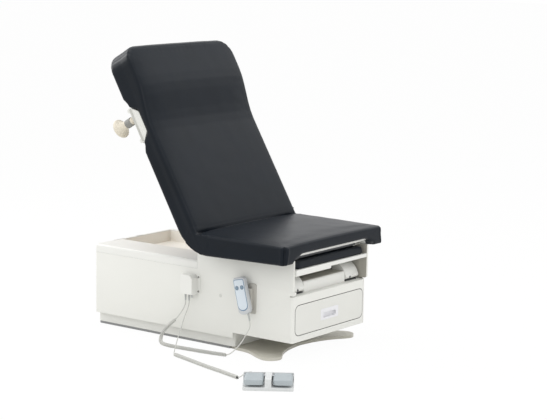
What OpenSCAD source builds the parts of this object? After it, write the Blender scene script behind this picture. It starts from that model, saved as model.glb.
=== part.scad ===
// Examination table with a powered lift, a gas-assisted back section, a pull-out leg rest,
// two stirrups, a drawer, a corded handset and a corded foot switch.
// X runs to the foot end, +Z is up, and the origin is on the floor at the plinth's centre.

/* [Cushions] */
// Width of the cushions' parts beside the housing
skirt_w = 88; // [80:1:100]
// Height of the seat's top above the floor with the lift down
seat_top = 498; // [496:1:530]
// Length of the seat from its crease to its front
seat_len = 456; // [440:1:480]
// Overhang of the seat ahead of the housing
seat_overhang = 25; // [20:1:28]
// Length of the back section from its crease to its head end
back_len = 848; // [820:1:900]
// Angle of the raised back above level, at its upper stop
back_angle = 59.5; // [50:0.5:62]
// Thickness of the foam over the seat and back boards
foam_t = 50; // [46:1:54]
// Depth of the cushions' side skirts
skirt_depth = 91; // [86:1:94]
// Depth of the seat's skirts at their rear end
seat_skirt_rear = 98; // [92:1:104]
// Depth of the seat's skirts at the front
seat_skirt_front = 87; // [82:1:89]
// Rise of the pillow above the surface of the back
pillow_rise = 38; // [20:1:45]
// Distance of the pillow's foot from the crease
pillow_start = 465; // [450:1:475]
// Length over which the pillow rises
pillow_ramp = 235; // [210:1:240]
// Radius of the back's corners at the head, seen from the front
head_corner_r = 80; // [40:1:90]
// Radius of the seat's front corners, seen from above
seat_corner_r = 24; // [18:1:60]
// Radius of the upholstered edges
edge_r = 14; // [8:1:20]
// Drop of the cushions' surface from the middle to the sides
crown_h = 5; // [2:1:8]
// Radius of the smooth underside below the crease
junction_r = 210; // [190:1:230]

/* [Boards and hinge] */
// Thickness of the seat board
seat_board_t = 15; // [12:1:18]
// Thickness of the back board
back_board_t = 12; // [10:1:15]
// Height of the tubes of the seat frame
seat_frame_h = 15; // [12:1:18]
// Side of the square tubes of the back frame
back_tube = 25; // [20:1:28]
// Distance of the hinges from the sides of the housing
hinge_in = 65; // [60:1:75]
// Width of a hinge lug on the back frame
lug_w = 17; // [12:1:20]
// Thickness of a hinge ear on the seat frame
ear_t = 6; // [4:1:8]
// Radius of the hinge ears and lugs
ear_r = 14; // [12:1:16]
// Radius of the hinge pins
hinge_pin_r = 5; // [4:0.5:6]

/* [Gas spring] */
// Distance of the lower pivot behind the back's hinge
spring_back = 43; // [38:1:50]
// Height of the lower pivot above the chassis plate
spring_low = 20; // [18:1:24]
// Distance of the upper pivot from the back's hinge, along the back
spring_arm = 242; // [236:1:250]
// Depth of the upper pivot below the surface of the back
spring_drop = 98; // [94:1:102]
// Outer radius of the gas spring's tube
spring_r = 14; // [13:0.5:15]
// Length of the gas spring's tube from its lower pivot to its mouth
spring_tube = 186; // [170:1:190]
// Radius of the gas spring's rod
spring_rod_r = 4.5; // [4:0.5:5]

/* [Lift] */
// Travel of the lift
lift_travel = 420; // [380:5:430]
// Length of the plinth
plinth_len = 764; // [740:1:800]
// Height of the fixed shroud's top above the floor
shroud_top = 292; // [286:1:294]
// Thickness of the steel floor plate
floor_plate_t = 12; // [8:1:14]
// Distance between the two lifting columns
column_pitch = 340; // [320:1:380]
// Outer side of a column's outer tube
column_w = 110; // [100:1:120]
// Wall of the column tubes
column_wall = 4; // [3:0.5:5]
// Reach of the whale-tail foot ahead of the plinth
foot_reach = 249; // [220:1:260]
// Width of the whale-tail foot
foot_w = 612; // [560:2:640]

/* [Housing] */
// Depth of the housing's part ahead of the plinth
box_depth = 311; // [300:1:320]
// Width of the housing
housing_w = 520; // [512:1:522]
// Overhang of the housing beside the plinth
side_overhang = 19.5; // [16:0.5:24]
// Overhang of the housing behind the plinth
rear_overhang = 6; // [5:0.5:10]
// Height of the housing's lower edge above the floor
housing_low = 54; // [50:1:58]
// Height of the front box's floor above the floor
box_low = 77; // [74:1:86]
// Height of the seam between side panel and top cover
seam_z = 323; // [320:1:326]
// Height of the top cover
cover_top = 359; // [357:1:362]
// Radius of the top cover's upper edge
cover_edge_r = 10; // [6:1:12]
// Radius of the housing's upright corners
housing_r = 13; // [11:1:14]
// Thickness of the sheet metal
sheet_t = 1.5; // [1:0.1:2]
// Start of the raised front part of the side panels, behind the crease
cheek_back = 68; // [60:1:72]
// Thickness of the cheeks at the front
cheek_t = 10; // [8:1:11]
// Length of the thick part of the cheeks
cheek_len = 64; // [50:1:80]
// Reach of the cheeks ahead of the front panel
cheek_reach = 11; // [8:1:14]

/* [Well] */
// Distance of the well from the rear edge
well_rear = 22; // [20:1:30]
// Width of the well
well_w = 322; // [310:1:330]
// Distance of the well's far side from the side of the housing
well_side = 38; // [38:1:50]

/* [Front box] */
// Height of the ledge above the floor
ledge_z = 268; // [264:1:270]
// Width of the front panel beside the drawer front
drawer_side = 20; // [18:1:30]
// Height of the drawer front
drawer_h = 124; // [110:1:130]
// Height of the drawer front's lower edge above the floor
drawer_low = 105; // [100:1:112]
// Radius of the drawer front's corners
drawer_r = 25; // [15:1:35]
// Depth of the room behind the drawer's tray
drawer_room = 56; // [50:1:100]
// Width of the drawer's handle plate
handle_w = 125; // [110:1:140]
// Height of the drawer's handle plate
handle_h = 48; // [42:1:54]
// Width of the finger recess
pull_w = 92; // [80:1:100]
// Height of the finger recess
pull_h = 22; // [18:1:26]

/* [Leg rest] */
// Thickness of the leg rest's pad
leg_pad_t = 35; // [30:1:36]
// Height of the leg rest's pan
leg_pan_h = 27; // [24:1:28]

/* [Stirrups] */
// Distance of the stirrups from the sides of the housing
stirrup_in = 73; // [70:1:74]
// Width of a heel cup
cup_w = 75; // [68:1:76]
// Height and depth of a heel cup
cup_r = 72; // [66:1:74]
// Side of a stirrup's square arm
arm_w = 30; // [24:1:31]

/* [Roll holder] */
// Distance of the holder's knobs from the crease, along the back
knob_s = 556; // [540:1:570]
// Distance of the holder's knobs from the cushion's sides
knob_in = 21; // [20:1:28]
// Radius of a knob's head
knob_r = 44; // [38:1:46]
// Length of a bracket along the back
bracket_len = 156; // [150:1:162]

/* [Handset] */
// Length of the handset
handset_len = 155; // [140:1:170]
// Width of the handset
handset_w = 60; // [56:1:62]
// Thickness of the handset
handset_t = 22; // [18:1:24]
// Lean of the handset towards the head end
handset_lean = 14; // [0:1:20]
// Travel of a handset button
button_travel = 1.5; // [1:0.1:2]

/* [Foot switch] */
// Width of the foot switch
switch_w = 196; // [180:1:210]
// Depth of the foot switch
switch_d = 120; // [110:1:130]
// Height of the foot switch
switch_h = 45; // [40:1:50]
// Turn of the foot switch on the floor
switch_turn = 35.6; // [34:0.2:37]
// Travel of a pedal
pedal_angle = 5; // [3:0.5:5]

/* [Cords] */
// Diameter of the cords
cord_d = 4.4; // [4:0.1:5]
// Outer diameter of the cords' curls
curl_d = 16; // [15:0.5:17]
// Number of curls on each cord
curls = 26; // [20:1:28]

/* [Hidden] */
$fn = 48;
cut = 1;                        // overrun of a cut past a face
fit = 0.05;                     // running fit of a pin in its hole
slide = 0.4;                    // running gap of a slide
soft_gap = 0.3;                 // gap between a cushion and what lies beside it
clear = 1.5;                    // clearance between parts that pass each other

// Outline of the housing
plinth_x = plinth_len / 2;
plinth_w = housing_w - 2 * side_overhang;
plinth_y = plinth_w / 2;
rear_x = -plinth_x - rear_overhang;
front_x = plinth_x + box_depth;
housing_len = front_x - rear_x;
side_y = housing_w / 2;

// Cushions and hinge
seat_front = front_x + seat_overhang;
crease_x = seat_front - seat_len;
skirt_gap = 2;
skirt_in = side_y + skirt_gap;
cushion_w = 2 * (skirt_in + skirt_w);
hinge_y = side_y - hinge_in;
hollow_r = skirt_depth - foam_t;
hinge_x = crease_x - foam_t * tan(back_angle / 2);
hinge_z = seat_top - foam_t;
flat_crease = hinge_x - foam_t * tan(back_angle / 2);
nose_r = foam_t;
seat_hole_r = norm([crease_x - hinge_x, foam_t]) + soft_gap;
side_draw = 2.5;
low_r = 9;
top_round = 26;
lip_round = 16;
head_wall = 50;
loft_shares = [0, 0.4, 0.7, 0.9];
plan_steps = 7;
run_shares = [0, 0.33, 0.66, 1];
nose_stop = 4;
gusset_angle = 38;

// Boards and frames
board_w = 2 * (skirt_in - hollow_r) - 2 * clear;
board_low = hinge_z - seat_board_t;
frame_low = board_low - seat_frame_h;
seat_hole_end = hinge_x + seat_hole_r + clear;
board_inset = 18;
board_front = seat_front - board_inset;
shell_t = 3;
frame_tube = 25;
frame_rear = hinge_x + ear_r + clear;
frame_inset = 30;
frame_front = board_front - frame_inset;
bar_shares = [0.12, 0.5, 1];
board_start = 30;
back_board_x = hinge_x - board_start;
back_board_end = flat_crease - back_len + head_wall + clear;
tube_start = 36;
back_tube_x = hinge_x - tube_start;
back_tube_end = back_board_end + frame_inset;
tube_wall = 2;
pocket_gap = 2;
pocket_share = 0.7;

// Lift
shroud_t = 2;
plinth_r = 11;
plinth_gap = 0.5;
plinth_low = floor_plate_t + plinth_gap;
gasket_t = 5;
gasket_low = 2;
mid_gap = 1.7;
shroud_lap = 24;
mid_low = shroud_top - shroud_lap - lift_travel / 2;
lift_gap = 4;
mid_top = shroud_top + lift_gap;
spreader_t = 3;
chassis_z = mid_top + lift_gap;
chassis_t = 6;
column_x = column_pitch / 2;
column_gap = 0.4;
column_r = 12;
flange_out = 15;
flange_w = column_w + 2 * flange_out;
flange_t = 6;
beam_h = 40;
beam_w = 25;
motor_r = 30;
motor_len = 120;
gearbox = 74;
shaft_r = 6;

// Gas spring, laid out between its two pivots with the back raised
spring_x = hinge_x - spring_back;
spring_z = chassis_z + chassis_t + spring_low;
upper_x = hinge_x - spring_x - spring_arm * cos(back_angle) - (spring_drop - foam_t) * sin(back_angle);
upper_z = hinge_z - spring_z + spring_arm * sin(back_angle) - (spring_drop - foam_t) * cos(back_angle);
spring_rest = norm([upper_x, upper_z]);
spring_polar = atan2(upper_z, upper_x);
spring_ear_y = 16;
spring_eye_r = 11;
spring_pin_r = 4;
rod_in = 30;

// Housing
inner_y = side_y - sheet_t;
cheek_x = crease_x - cheek_back;
cheek_top = frame_low;
box_x = plinth_x + mid_gap + sheet_t + clear;
seam_gap = 0.5;
cover_t = 3;
cover_lap = 42;
cover_front = cheek_x + cover_lap;
well_x0 = rear_x + well_rear;
well_edge = 14;
well_x1 = cover_front - well_edge;
well_far = side_y - well_side;
well_near = well_w - well_far;
liner_t = 2.5;
rail_w = 24;
rail_y = side_y - cover_t - slide;
rail_h = 40;
rail_front = front_x - cheek_len;
flange_in = 64;
control_len = 240;
grip_w = 12;
grip_len = 70;
grip_y = 115;
slot_w = 6;
slot_len = 43;
slot_y = 17;
grip_in = 14;

// Front box
shelf_t = 1.5;
gap_line = 2.5;
drawer_t = 16;
drawer_mid = drawer_low + drawer_h / 2;
drawer_w = housing_w - 2 * drawer_side;
drawer_depth = box_depth - drawer_room;
handle_drop = 3;
handle_mid = drawer_mid - handle_drop;
handle_r = 6;
pull_drop = 4.5;
pull_mid = handle_mid - pull_drop;
tray_side = 12;
tray_w = drawer_w - 2 * tray_side;
tray_h = 96;
tray_lift = 9;
tray_low = drawer_low + tray_lift;
tray_wall = 2;
bar_w = 8;
bar_h = 20;
bar_drop = 4;
bar_z = drawer_mid - bar_drop;
lip_t = 3;
pull_depth = 13;

// Leg rest
pad_top = frame_low - sheet_t - clear;
pad_low = pad_top - leg_pad_t;
pan_low = pad_low - leg_pan_h;
pan_gap = 1;
pan_w = housing_w - 2 * (cheek_t + pan_gap);
leg_front = front_x + cheek_reach;
leg_lip = 14;
leg_bar_h = 10;
leg_bar_lift = 12;
leg_bar_z = pan_low + leg_bar_lift;
leg_rail_x = cover_front + lift_gap;
leg_bar_len = 44;
leg_rear = leg_rail_x + leg_bar_len;
pad_side = 9;
pad_w = pan_w - 2 * pad_side;

// Stirrups
stirrup_y = side_y - stirrup_in;
arm_lift = 19;
arm_z = chassis_z + chassis_t + arm_lift;
cup_recess = 24;
cup_front = front_x - cup_recess;
cup_depth = 54;
cup_web = cup_front - cup_depth;
sleeve_room = 18;
arm_rear = well_x1 + sleeve_room;
cup_roll = 14;
cup_lift = 7;
cup_low = ledge_z + cup_lift;
cup_wall = 4;
sleeve_t = 3;
sleeve_gap = 8;
sleeve_end = cup_front - cup_r - sleeve_gap;
cover_bar_h = 65;
cover_bar_d = 104;
cover_bar_r = 24;

// Roll holder
knob_y = cushion_w / 2 - knob_in;
plate_t = 8;
plate_d = 78;
plate_len = 120;
bracket_shift = 29;
bracket_top = 40;
bracket_rear = 86;
bracket_slope = 28;
bracket_r = 8;
bracket_w = 26;
claw_d = 11;
claw_len = 18;
notch_gap = 2;
notch_lip = 15;
notch_run = 30;
stem_r = 16;
spigot_r = 8;
spigot_len = 24;
knob_t = 50;
knob_d = 187;
knob_shares = [[0, 0], [0.5, 0], [0.78, 0.06], [0.95, 0.2], [1, 0.36], [0.97, 0.5], [0.5, 0.9], [0.36, 1], [0, 1]];

// Cable box and handset
cable_back = 527;
cable_x = front_x - cable_back;
cable_z = 257;
cable_w = 62;
cable_h = 82;
cable_t = 40;
cable_ear = 14;
outlet_shares = [-0.2904, 0.0162, 0.2742];
outlet_out = 20;
outlet_x = [for (s = outlet_shares) cable_x + s * cable_w];
outlet_y = side_y + outlet_out;
relief_len = 30;
relief_top_r = 5;
relief_low_r = 3.2;
handset_back = 233;
handset_x = front_x - handset_back;
handset_z = 249;
handset_out = 18;
handset_y = side_y + handset_out;
handset_r = 12;
face_t = 1.5;
face_w = 53;
face_len = 130;
face_shift = 5;
button_r = 7;
button_y = 35;
button_pitch = 26;
button_h = 6;
relief_shift = 12.5;
handset_relief_len = 28;
hook_shift = 29;
hook_x = handset_x + hook_shift;
hook_t = 4;
hook_w = 40;
hook_h = 126;
hook_z = 237;

// Foot switch
switch_x = 850;
switch_y = 622;
switch_low = 13;
rib_w = 33;
pedal_w = 76;
pedal_r = 9;
pedal_pin_r = 3;
pedal_pin_y = 44;
pedal_pin_z = 34;
pedal_rear = pedal_pin_y + switch_h - pedal_pin_z;
pedal_gap = 0.5;
pedal_drop = (pedal_pin_y + switch_d / 2) * tan(pedal_angle) + pedal_gap;
switch_side = 2.5;

// Routes of the two cords, hand-placed points from the outlet or relief onwards
handset_lead = [[497, -289, 149.5], [499, -289, 138], [500, -292, 120], [492, -306, 92], [482, -322, 62],
    [467, -336, 38], [450, -348, 18], [434, -358, 8.6]];
handset_curl = [[434, -358, 8.6], [370, -367, 8.2], [307, -375, 8.2], [250, -380, 8.2], [195, -384, 8.2],
    [140, -384, 8.2], [98, -374, 10], [74, -352, 24], [74, -330, 52], [92, -312, 80], [110, -299, 101]];
handset_tail = [[110, -299, 101], [124, -289, 122], [137, -282, 146], [146, -280, 166], [148, -280, 174],
    [148, -280, 186]];
pedal_lead = [[167, -280, 186], [167, -280, 175], [165, -286, 152], [163, -302, 122], [168, -326, 90],
    [180, -356, 64], [200, -394, 42], [224, -434, 23], [246, -468, 11], [262, -486, 8.2]];
pedal_curl = [[262, -486, 8.2], [350, -512, 8.2], [444, -541, 8.2], [510, -560, 8.2], [575, -576, 8.2],
    [640, -595, 8.2], [692, -610, 8.2]];
pedal_tail = [[692, -610, 8.2], [708, -612, 16], [724, -604, 30], [742, -592, 36], [755, -590, 30],
    [763, -601, 24], [767, -606.8, 22.5]];
lead_steps = 3;
curl_rings = 8;
cord_sides = 6;

white = "#E3E3DE";
black = "#2B2D31";
steel = "#8E9296";
beige = "#CFC6B4";
grey = "#A9B0B4";

// A rectangle with round corners, centred
module round_rect(l, w, r) {
    square([l - 2 * r, w], center = true);
    square([l, w - 2 * r], center = true);
    for (x = [-1, 1], y = [-1, 1]) translate([x * (l / 2 - r), y * (w / 2 - r)]) circle(r);
}

// A round-cornered rectangular tube standing on z = low
module upright_tube(l, w, r, wall, low, top) {
    translate([0, 0, low]) linear_extrude(top - low) difference() {
        round_rect(l, w, r);
        round_rect(l - 2 * wall, w - 2 * wall, max(r - wall, wall / 4));
    }
}

// A box from its low corner to its high corner
module block(low, high) {
    translate(low) cube(high - low);
}

// An outline in X and Z made solid between two places along Y
module side_solid(y0, y1) {
    translate([0, y1, 0]) rotate([90, 0, 0]) linear_extrude(y1 - y0) children();
}

// An outline in Y and Z made solid between two places along X
module front_solid(x0, x1) {
    translate([x0, 0, 0]) rotate([90, 0, 90]) linear_extrude(x1 - x0) children();
}

// A copy of the children on each side of the table
module both_sides() {
    children();
    mirror([0, 1, 0]) children();
}

// Turns the back section from level to its raised place
module raised() {
    translate([hinge_x, 0, hinge_z]) rotate([0, back_angle, 0]) translate([-hinge_x, 0, -hinge_z]) children();
}

// Half of a cushion's section at one station, from the middle of the top to the middle underneath
function half_ring(w, top, low, crown, er) = concat(
    [for (t = loft_shares) [t * (w - er), top - crown * pow(t, 3)]],
    [for (a = [90:-30:0]) [w - er + er * cos(a), top - crown - er + er * sin(a)]],
    [[w - side_draw, (top + low) / 2]],
    [for (a = [0:-30:-90]) [w - low_r + low_r * cos(a), low + low_r + low_r * sin(a)]],
    [[0, low]]);

function ring(h) = let (n = len(h)) concat(h, [for (i = [n - 2:-1:1]) [-h[i].x, h[i].y]]);

// A solid lofted through stations of [x, half width, top, low, crown, edge radius]
module loft(stations) {
    rings = [for (s = stations) [for (p = ring(half_ring(s[1], s[2], s[3], s[4], s[5]))) [s[0], p.x, p.y]]];
    n = len(rings[0]);
    m = len(rings);
    points = [for (r = rings) for (p = r) p];
    skin = [for (i = [0:m - 2]) for (j = [0:n - 1]) let (a = i * n + j, b = i * n + (j + 1) % n)
        each [[a, b, b + n], [a, b + n, a + n]]];
    caps = [for (j = [1:n - 2]) each [[0, j + 1, j], [(m - 1) * n, (m - 1) * n + j, (m - 1) * n + j + 1]]];
    polyhedron(points, concat(skin, caps));
}

// Outline of the hollow under the foam, drawn in by an inset
module hollow_outline(top, low, inset) {
    side = skirt_in - inset;
    r = hollow_r - inset;
    high = top - inset;
    translate([-side, low]) square([2 * side, high - r - low]);
    translate([-side + r, low]) square([2 * (side - r), high - low]);
    for (y = [-1, 1]) translate([y * (side - r), high - r]) circle(r);
}

module hollow(x0, x1, top, low) {
    front_solid(x0, x1) hollow_outline(top, low, 0);
}

// The rounded underside where the seat and the raised back meet
module junction_cut() {
    low = seat_top - seat_skirt_rear;
    oz = low + junction_r - hinge_z;
    ox = (junction_r - hollow_r - oz * cos(back_angle)) / sin(back_angle);
    far = junction_r * 1.7;
    side_solid(-cushion_w, cushion_w) translate([hinge_x + ox, hinge_z + oz]) difference() {
        polygon([[0, 0], far * [-sin(back_angle), -cos(back_angle)],
            far * [-sin(back_angle / 2), -cos(back_angle / 2)], [0, -far]]);
        circle(junction_r, $fn = 96);
    }
}

// Smooth curve through hand-placed points, with n steps between neighbours
function bend(a, b, c, d, t) = 0.5 * (2 * b + (c - a) * t + (2 * a - 5 * b + 4 * c - d) * t * t
    + (3 * b - 3 * c + d - a) * t * t * t);
function curve(p, n) = let (m = len(p) - 1) concat(
    [for (i = [0:m - 1]) for (k = [0:n - 1])
        bend(p[max(i - 1, 0)], p[i], p[i + 1], p[min(i + 2, m)], k / n)], [p[m]]);

// Outline of the whale-tail foot, as shares of its reach and of its half width
tail_shares = [[0, 0.785], [0.31, 0.815], [0.6, 0.938], [0.8, 1], [0.93, 0.96], [1, 0.86], [0.97, 0.76],
    [0.86, 0.627], [0.76, 0.45], [0.69, 0.25], [0.65, 0]];
tail_steps = 3;

module floor_plate() {
    half = curve([for (s = tail_shares) [plinth_x + s.x * foot_reach, s.y * foot_w / 2]], tail_steps);
    inset = gasket_t + beam_w / 4;
    color(grey) linear_extrude(floor_plate_t) {
        polygon(concat([for (p = half) p], [for (i = [len(half) - 2:-1:0]) [half[i].x, -half[i].y]]));
        translate([inset - plinth_x, inset - plinth_y]) square([plinth_len - inset + cut, plinth_w - 2 * inset]);
    }
}

module base_frame() {
    x = plinth_x - shroud_t;
    y = plinth_y - shroud_t;
    z = floor_plate_t;
    inner = column_x + flange_w / 2 + clear;
    color(steel) {
        both_sides() block([plinth_r - x, y - beam_w, z], [x - plinth_r, y, z + beam_h]);
        for (b = [-x, -inner - beam_w, inner, x - beam_w])
            block([b, -y + beam_w, z], [b + beam_w, y - beam_w, z + beam_h]);
    }
}

module plinth_cover() {
    color(white) upright_tube(plinth_len, plinth_w, plinth_r, shroud_t, plinth_low, shroud_top);
}

module plinth_gasket() {
    color(black) difference() {
        upright_tube(plinth_len - shroud_t, plinth_w - shroud_t, plinth_r, gasket_t, gasket_low, floor_plate_t);
        block([plinth_x - beam_w, -plinth_w, 0], [plinth_len, plinth_w, beam_h]);
    }
}

// One pair of column tubes, the outer, middle or inner one
module column_tubes(i, low, top) {
    side = column_w - 2 * i * (column_wall + column_gap);
    for (x = [-column_x, column_x]) translate([x, 0, 0])
        upright_tube(side, side, column_r - i * (column_wall + column_gap), column_wall, low, top);
}

module column_outer() {
    color(steel) {
        column_tubes(0, floor_plate_t, shroud_top - spreader_t - clear);
        for (x = [-column_x, column_x]) translate([x, 0, 0])
            upright_tube(flange_w, flange_w, column_r, (flange_w - column_w) / 2 + cut, floor_plate_t,
                floor_plate_t + flange_t);
    }
}

module lift_motor() {
    z = floor_plate_t + gearbox / 2;
    reach = column_x - column_w / 2;
    color("#55585C") {
        translate([0, 0, z]) cube(gearbox, center = true);
        translate([0, gearbox / 2 - cut, z]) rotate([-90, 0, 0]) cylinder(r = motor_r, h = motor_len);
        translate([-reach, 0, z]) rotate([0, 90, 0]) cylinder(r = shaft_r, h = 2 * reach);
    }
}

module column_middle() {
    y = plinth_y + mid_gap;
    color(steel) {
        column_tubes(1, floor_plate_t + spreader_t, mid_top);
        difference() {
            for (x = [-column_x, column_x]) translate([x - beam_h / 2, 0, 0])
                block([0, -y, mid_top - spreader_t], [beam_h, y, mid_top]);
            for (x = [-column_x, column_x]) translate([x, 0, 0]) cube([tube_in(1), tube_in(1), 2 * cover_top],
                center = true);
        }
    }
}

function tube_in(i) = column_w - 2 * i * (column_wall + column_gap) - 2 * column_wall;

module mid_shroud() {
    grow = 2 * (mid_gap + sheet_t);
    color(white) upright_tube(plinth_len + grow, plinth_w + grow, plinth_r + grow / 2, sheet_t, mid_low, mid_top);
}

module column_inner() {
    color("#B8BBBE") column_tubes(2, floor_plate_t + 2 * spreader_t, chassis_z);
}

module chassis_frame() {
    top = chassis_z + chassis_t;
    x0 = rear_x + sheet_t;
    color(steel) {
        block([x0, housing_r - side_y, chassis_z], [x0 + side_y, side_y - housing_r, top]);
        block([rear_x + housing_r, -inner_y, chassis_z], [box_x + sheet_t, inner_y, top]);
        both_sides() block([rear_x + housing_r, rail_y - rail_w, top], [rail_front, rail_y, top + rail_h]);
        difference() {
            both_sides() side_solid(spring_ear_y, spring_ear_y + ear_t) {
                translate([spring_x, spring_z]) circle(spring_eye_r);
                translate([spring_x - spring_eye_r, top - cut]) square([2 * spring_eye_r, spring_low + cut]);
            }
            translate([spring_x, 0, spring_z]) rotate([90, 0, 0])
                cylinder(r = spring_pin_r + fit, h = housing_w, center = true);
        }
    }
}

// The upright walls of the housing as one ring of sheet
module housing_ring(top) {
    translate([rear_x + housing_len / 2, 0, 0])
        upright_tube(housing_len, housing_w, housing_r, sheet_t, housing_low, top);
}

module side_panel() {
    step = housing_r + clear;
    nose = cheek_reach;
    low = ledge_z + nose / 2;
    intersection() {
        housing_ring(cheek_top);
        block([rear_x - cut, side_y - housing_r, 0], [leg_front, side_y + cut, seat_top]);
        side_solid(0, side_y + cut) {
            translate([rear_x, housing_low]) square([box_x - rear_x, seam_z - housing_low]);
            translate([box_x - cut, box_low]) square([front_x - box_x + cut, ledge_z - box_low]);
            translate([cheek_x, seam_z - cut]) square([box_x - cheek_x + cut, cheek_top - seam_z + cut]);
            translate([box_x, ledge_z - cut]) square([front_x - step - box_x, cheek_top - ledge_z + cut]);
        }
    }
    side_solid(side_y - cheek_t, side_y) {
        translate([rail_front, low + nose]) square([leg_front - rail_front, cheek_top - low - nose]);
        translate([rail_front, low]) square([leg_front - nose - rail_front, cheek_top - low]);
        translate([leg_front - nose, low + nose]) circle(nose);
    }
    block([frame_rear, inner_y - flange_in, cheek_top - sheet_t], [frame_front, inner_y + cut / 2, cheek_top]);
}

module side_panel_far() {
    color(white) side_panel();
}

module side_panel_near() {
    color(white) mirror([0, 1, 0]) side_panel();
}

module rear_panel() {
    y = side_y - housing_r;
    color(white) block([rear_x, -y, housing_low], [rear_x + sheet_t, y, seam_z]);
}

// An arch standing on z = 0: a rectangle with its two upper corners rounded
module arch(w, h, r) {
    translate([-w / 2, 0]) square([w, h - r]);
    translate([r - w / 2, 0]) square([w - 2 * r, h]);
    for (x = [-1, 1]) translate([x * (w / 2 - r), h - r]) circle(r);
}

// The cover's outer form, drawn in by one wall thickness where asked
module cover_form(inset) {
    r = cover_edge_r - inset;
    low = seam_z + seam_gap - (inset > 0 ? cut : 0);
    h = cover_top - inset - low;
    l = cover_front - rear_x - 2 * inset;
    w = housing_w - 2 * inset;
    x0 = rear_x + inset;
    intersection() {
        translate([x0 + l / 2, 0, low]) linear_extrude(h) round_rect(l, w, housing_r - inset);
        translate([0, 0, low]) front_solid(x0, x0 + l) arch(w, h, r);
        translate([x0 + l, 0, low]) side_solid(-w / 2, w / 2) arch(2 * l, h, r);
    }
}

// A slot along Y with round ends
module slot_outline(w, l) {
    square([w, l - w], center = true);
    for (y = [-1, 1]) translate([0, y * (l - w) / 2]) circle(w / 2);
}

module top_cover() {
    color(white) difference() {
        cover_form(0);
        cover_form(cover_t);
        block([cheek_x - seam_gap, -side_y - cut, 0], [cover_front + cut, side_y + cut, cover_top - cover_t]);
        both_sides() block([cheek_x - seam_gap, inner_y - clear, 0], [cover_front + cut, side_y + cut, seat_top]);
        block([well_x0, -well_near, seam_z], [well_x1, well_far, cover_top + cut]);
        translate([rear_x + grip_in, -grip_y, cover_top - cover_t / 2]) linear_extrude(cover_t)
            slot_outline(grip_w, grip_len);
        translate([rear_x + grip_in, slot_y, cover_top - 2 * cover_t]) linear_extrude(3 * cover_t)
            slot_outline(slot_w, slot_len);
    }
}

module well_liner() {
    low = chassis_z + chassis_t;
    t = liner_t;
    color(beige) difference() {
        block([well_x0 - t, -well_near - t, low], [well_x1 + t, well_far + t, cover_top - cover_t]);
        block([well_x0, -well_near, low + t], [well_x1, well_far, cover_top]);
        block([spring_x - spring_eye_r - clear, -spring_ear_y - ear_t - clear, low - cut],
            [spring_x + spring_eye_r + clear, spring_ear_y + ear_t + clear, low + t + cut]);
    }
}

module front_box() {
    y = side_y - housing_r;
    color(white) {
        intersection() {
            union() {
                block([box_x, -inner_y, box_low], [box_x + sheet_t, inner_y, chassis_z]);
                block([box_x, -inner_y, box_low], [front_x - sheet_t, inner_y, box_low + sheet_t]);
                block([box_x, -inner_y, ledge_z - shelf_t], [front_x - sheet_t, inner_y, ledge_z]);
            }
            translate([rear_x + housing_len / 2, 0, 0]) linear_extrude(seat_top)
                round_rect(housing_len - 2 * sheet_t, housing_w - 2 * sheet_t, housing_r - sheet_t);
        }
        block([front_x - housing_r, -y, ledge_z - shelf_t], [front_x, y, ledge_z]);
    }
}

// Outline of the drawer front, grown by a gap
module drawer_outline(x0, x1, grow) {
    front_solid(x0, x1) translate([0, drawer_mid])
        round_rect(drawer_w + 2 * grow, drawer_h + 2 * grow, drawer_r + grow);
}

module front_panel() {
    y = side_y - housing_r;
    color(white) difference() {
        block([front_x - sheet_t, -y, box_low], [front_x, y, ledge_z - shelf_t]);
        drawer_outline(front_x - 2 * sheet_t, front_x + cut, gap_line);
    }
}

module control_box() {
    z = chassis_z + chassis_t;
    y0 = well_near + liner_t + clear;
    y1 = rail_y - rail_w - clear;
    translate([rear_x / 2, -(y0 + y1) / 2, z]) color("#4A4D50") difference() {
        linear_extrude(rail_h - clear) round_rect(control_len, y1 - y0, liner_t * 2);
        for (i = [-2:2]) translate([i * control_len / 7, 0, rail_h]) cube([clear, y1 / 3, rail_h], center = true);
    }
}

// The ears or a lug of a hinge in X and Z, around its pivot
module ear_outline(foot) {
    circle(ear_r);
    polygon(concat([[-ear_r, -ear_r] * sqrt(1 / 2), [ear_r, ear_r] * sqrt(1 / 2)], foot));
}

module seat_frame() {
    x0 = frame_rear;
    color(steel) difference() {
        union() {
            both_sides() {
                block([x0, hinge_y - frame_tube / 2, frame_low], [frame_front, hinge_y + frame_tube / 2, board_low]);
                for (y = [hinge_y - lug_w / 2 - slide - ear_t, hinge_y + lug_w / 2 + slide])
                    side_solid(y, y + ear_t) translate([hinge_x, hinge_z])
                        ear_outline([[seat_hole_r - ear_t, -seat_board_t], [seat_hole_r - ear_t, -hinge_z + frame_low],
                            [ear_r + clear, -hinge_z + frame_low]]);
            }
            for (s = bar_shares) translate([x0 + s * (frame_front - x0 - frame_tube), 0, 0])
                block([0, -hinge_y, frame_low], [frame_tube, hinge_y, board_low]);
        }
        translate([hinge_x, 0, hinge_z]) rotate([90, 0, 0])
            cylinder(r = hinge_pin_r + fit, h = cushion_w, center = true);
    }
}

module seat_board() {
    low = frame_low + clear;
    color(white) difference() {
        union() {
            block([seat_hole_end, -board_w / 2, board_low], [board_front, board_w / 2, hinge_z - soft_gap]);
            front_solid(seat_hole_end, board_front) difference() {
                hollow_outline(hinge_z, 0, soft_gap);
                hollow_outline(hinge_z, -cut, soft_gap + shell_t);
            }
            front_solid(board_front - shell_t, board_front) hollow_outline(hinge_z, 0, soft_gap);
        }
        block([hinge_x, -cushion_w, -2 * cut], [seat_front, cushion_w, low]);
    }
}

function clamp(t) = max(0, min(1, t));
function smooth(t) = clamp(t) * clamp(t) * (3 - 2 * clamp(t));
function rounding(r, past) = past <= 0 ? 0 : r - sqrt(max(0, r * r - past * past));
function seat_low(x) = -seat_skirt_rear + (seat_skirt_rear - seat_skirt_front) * (x - hinge_x) / (seat_front - hinge_x);

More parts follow.
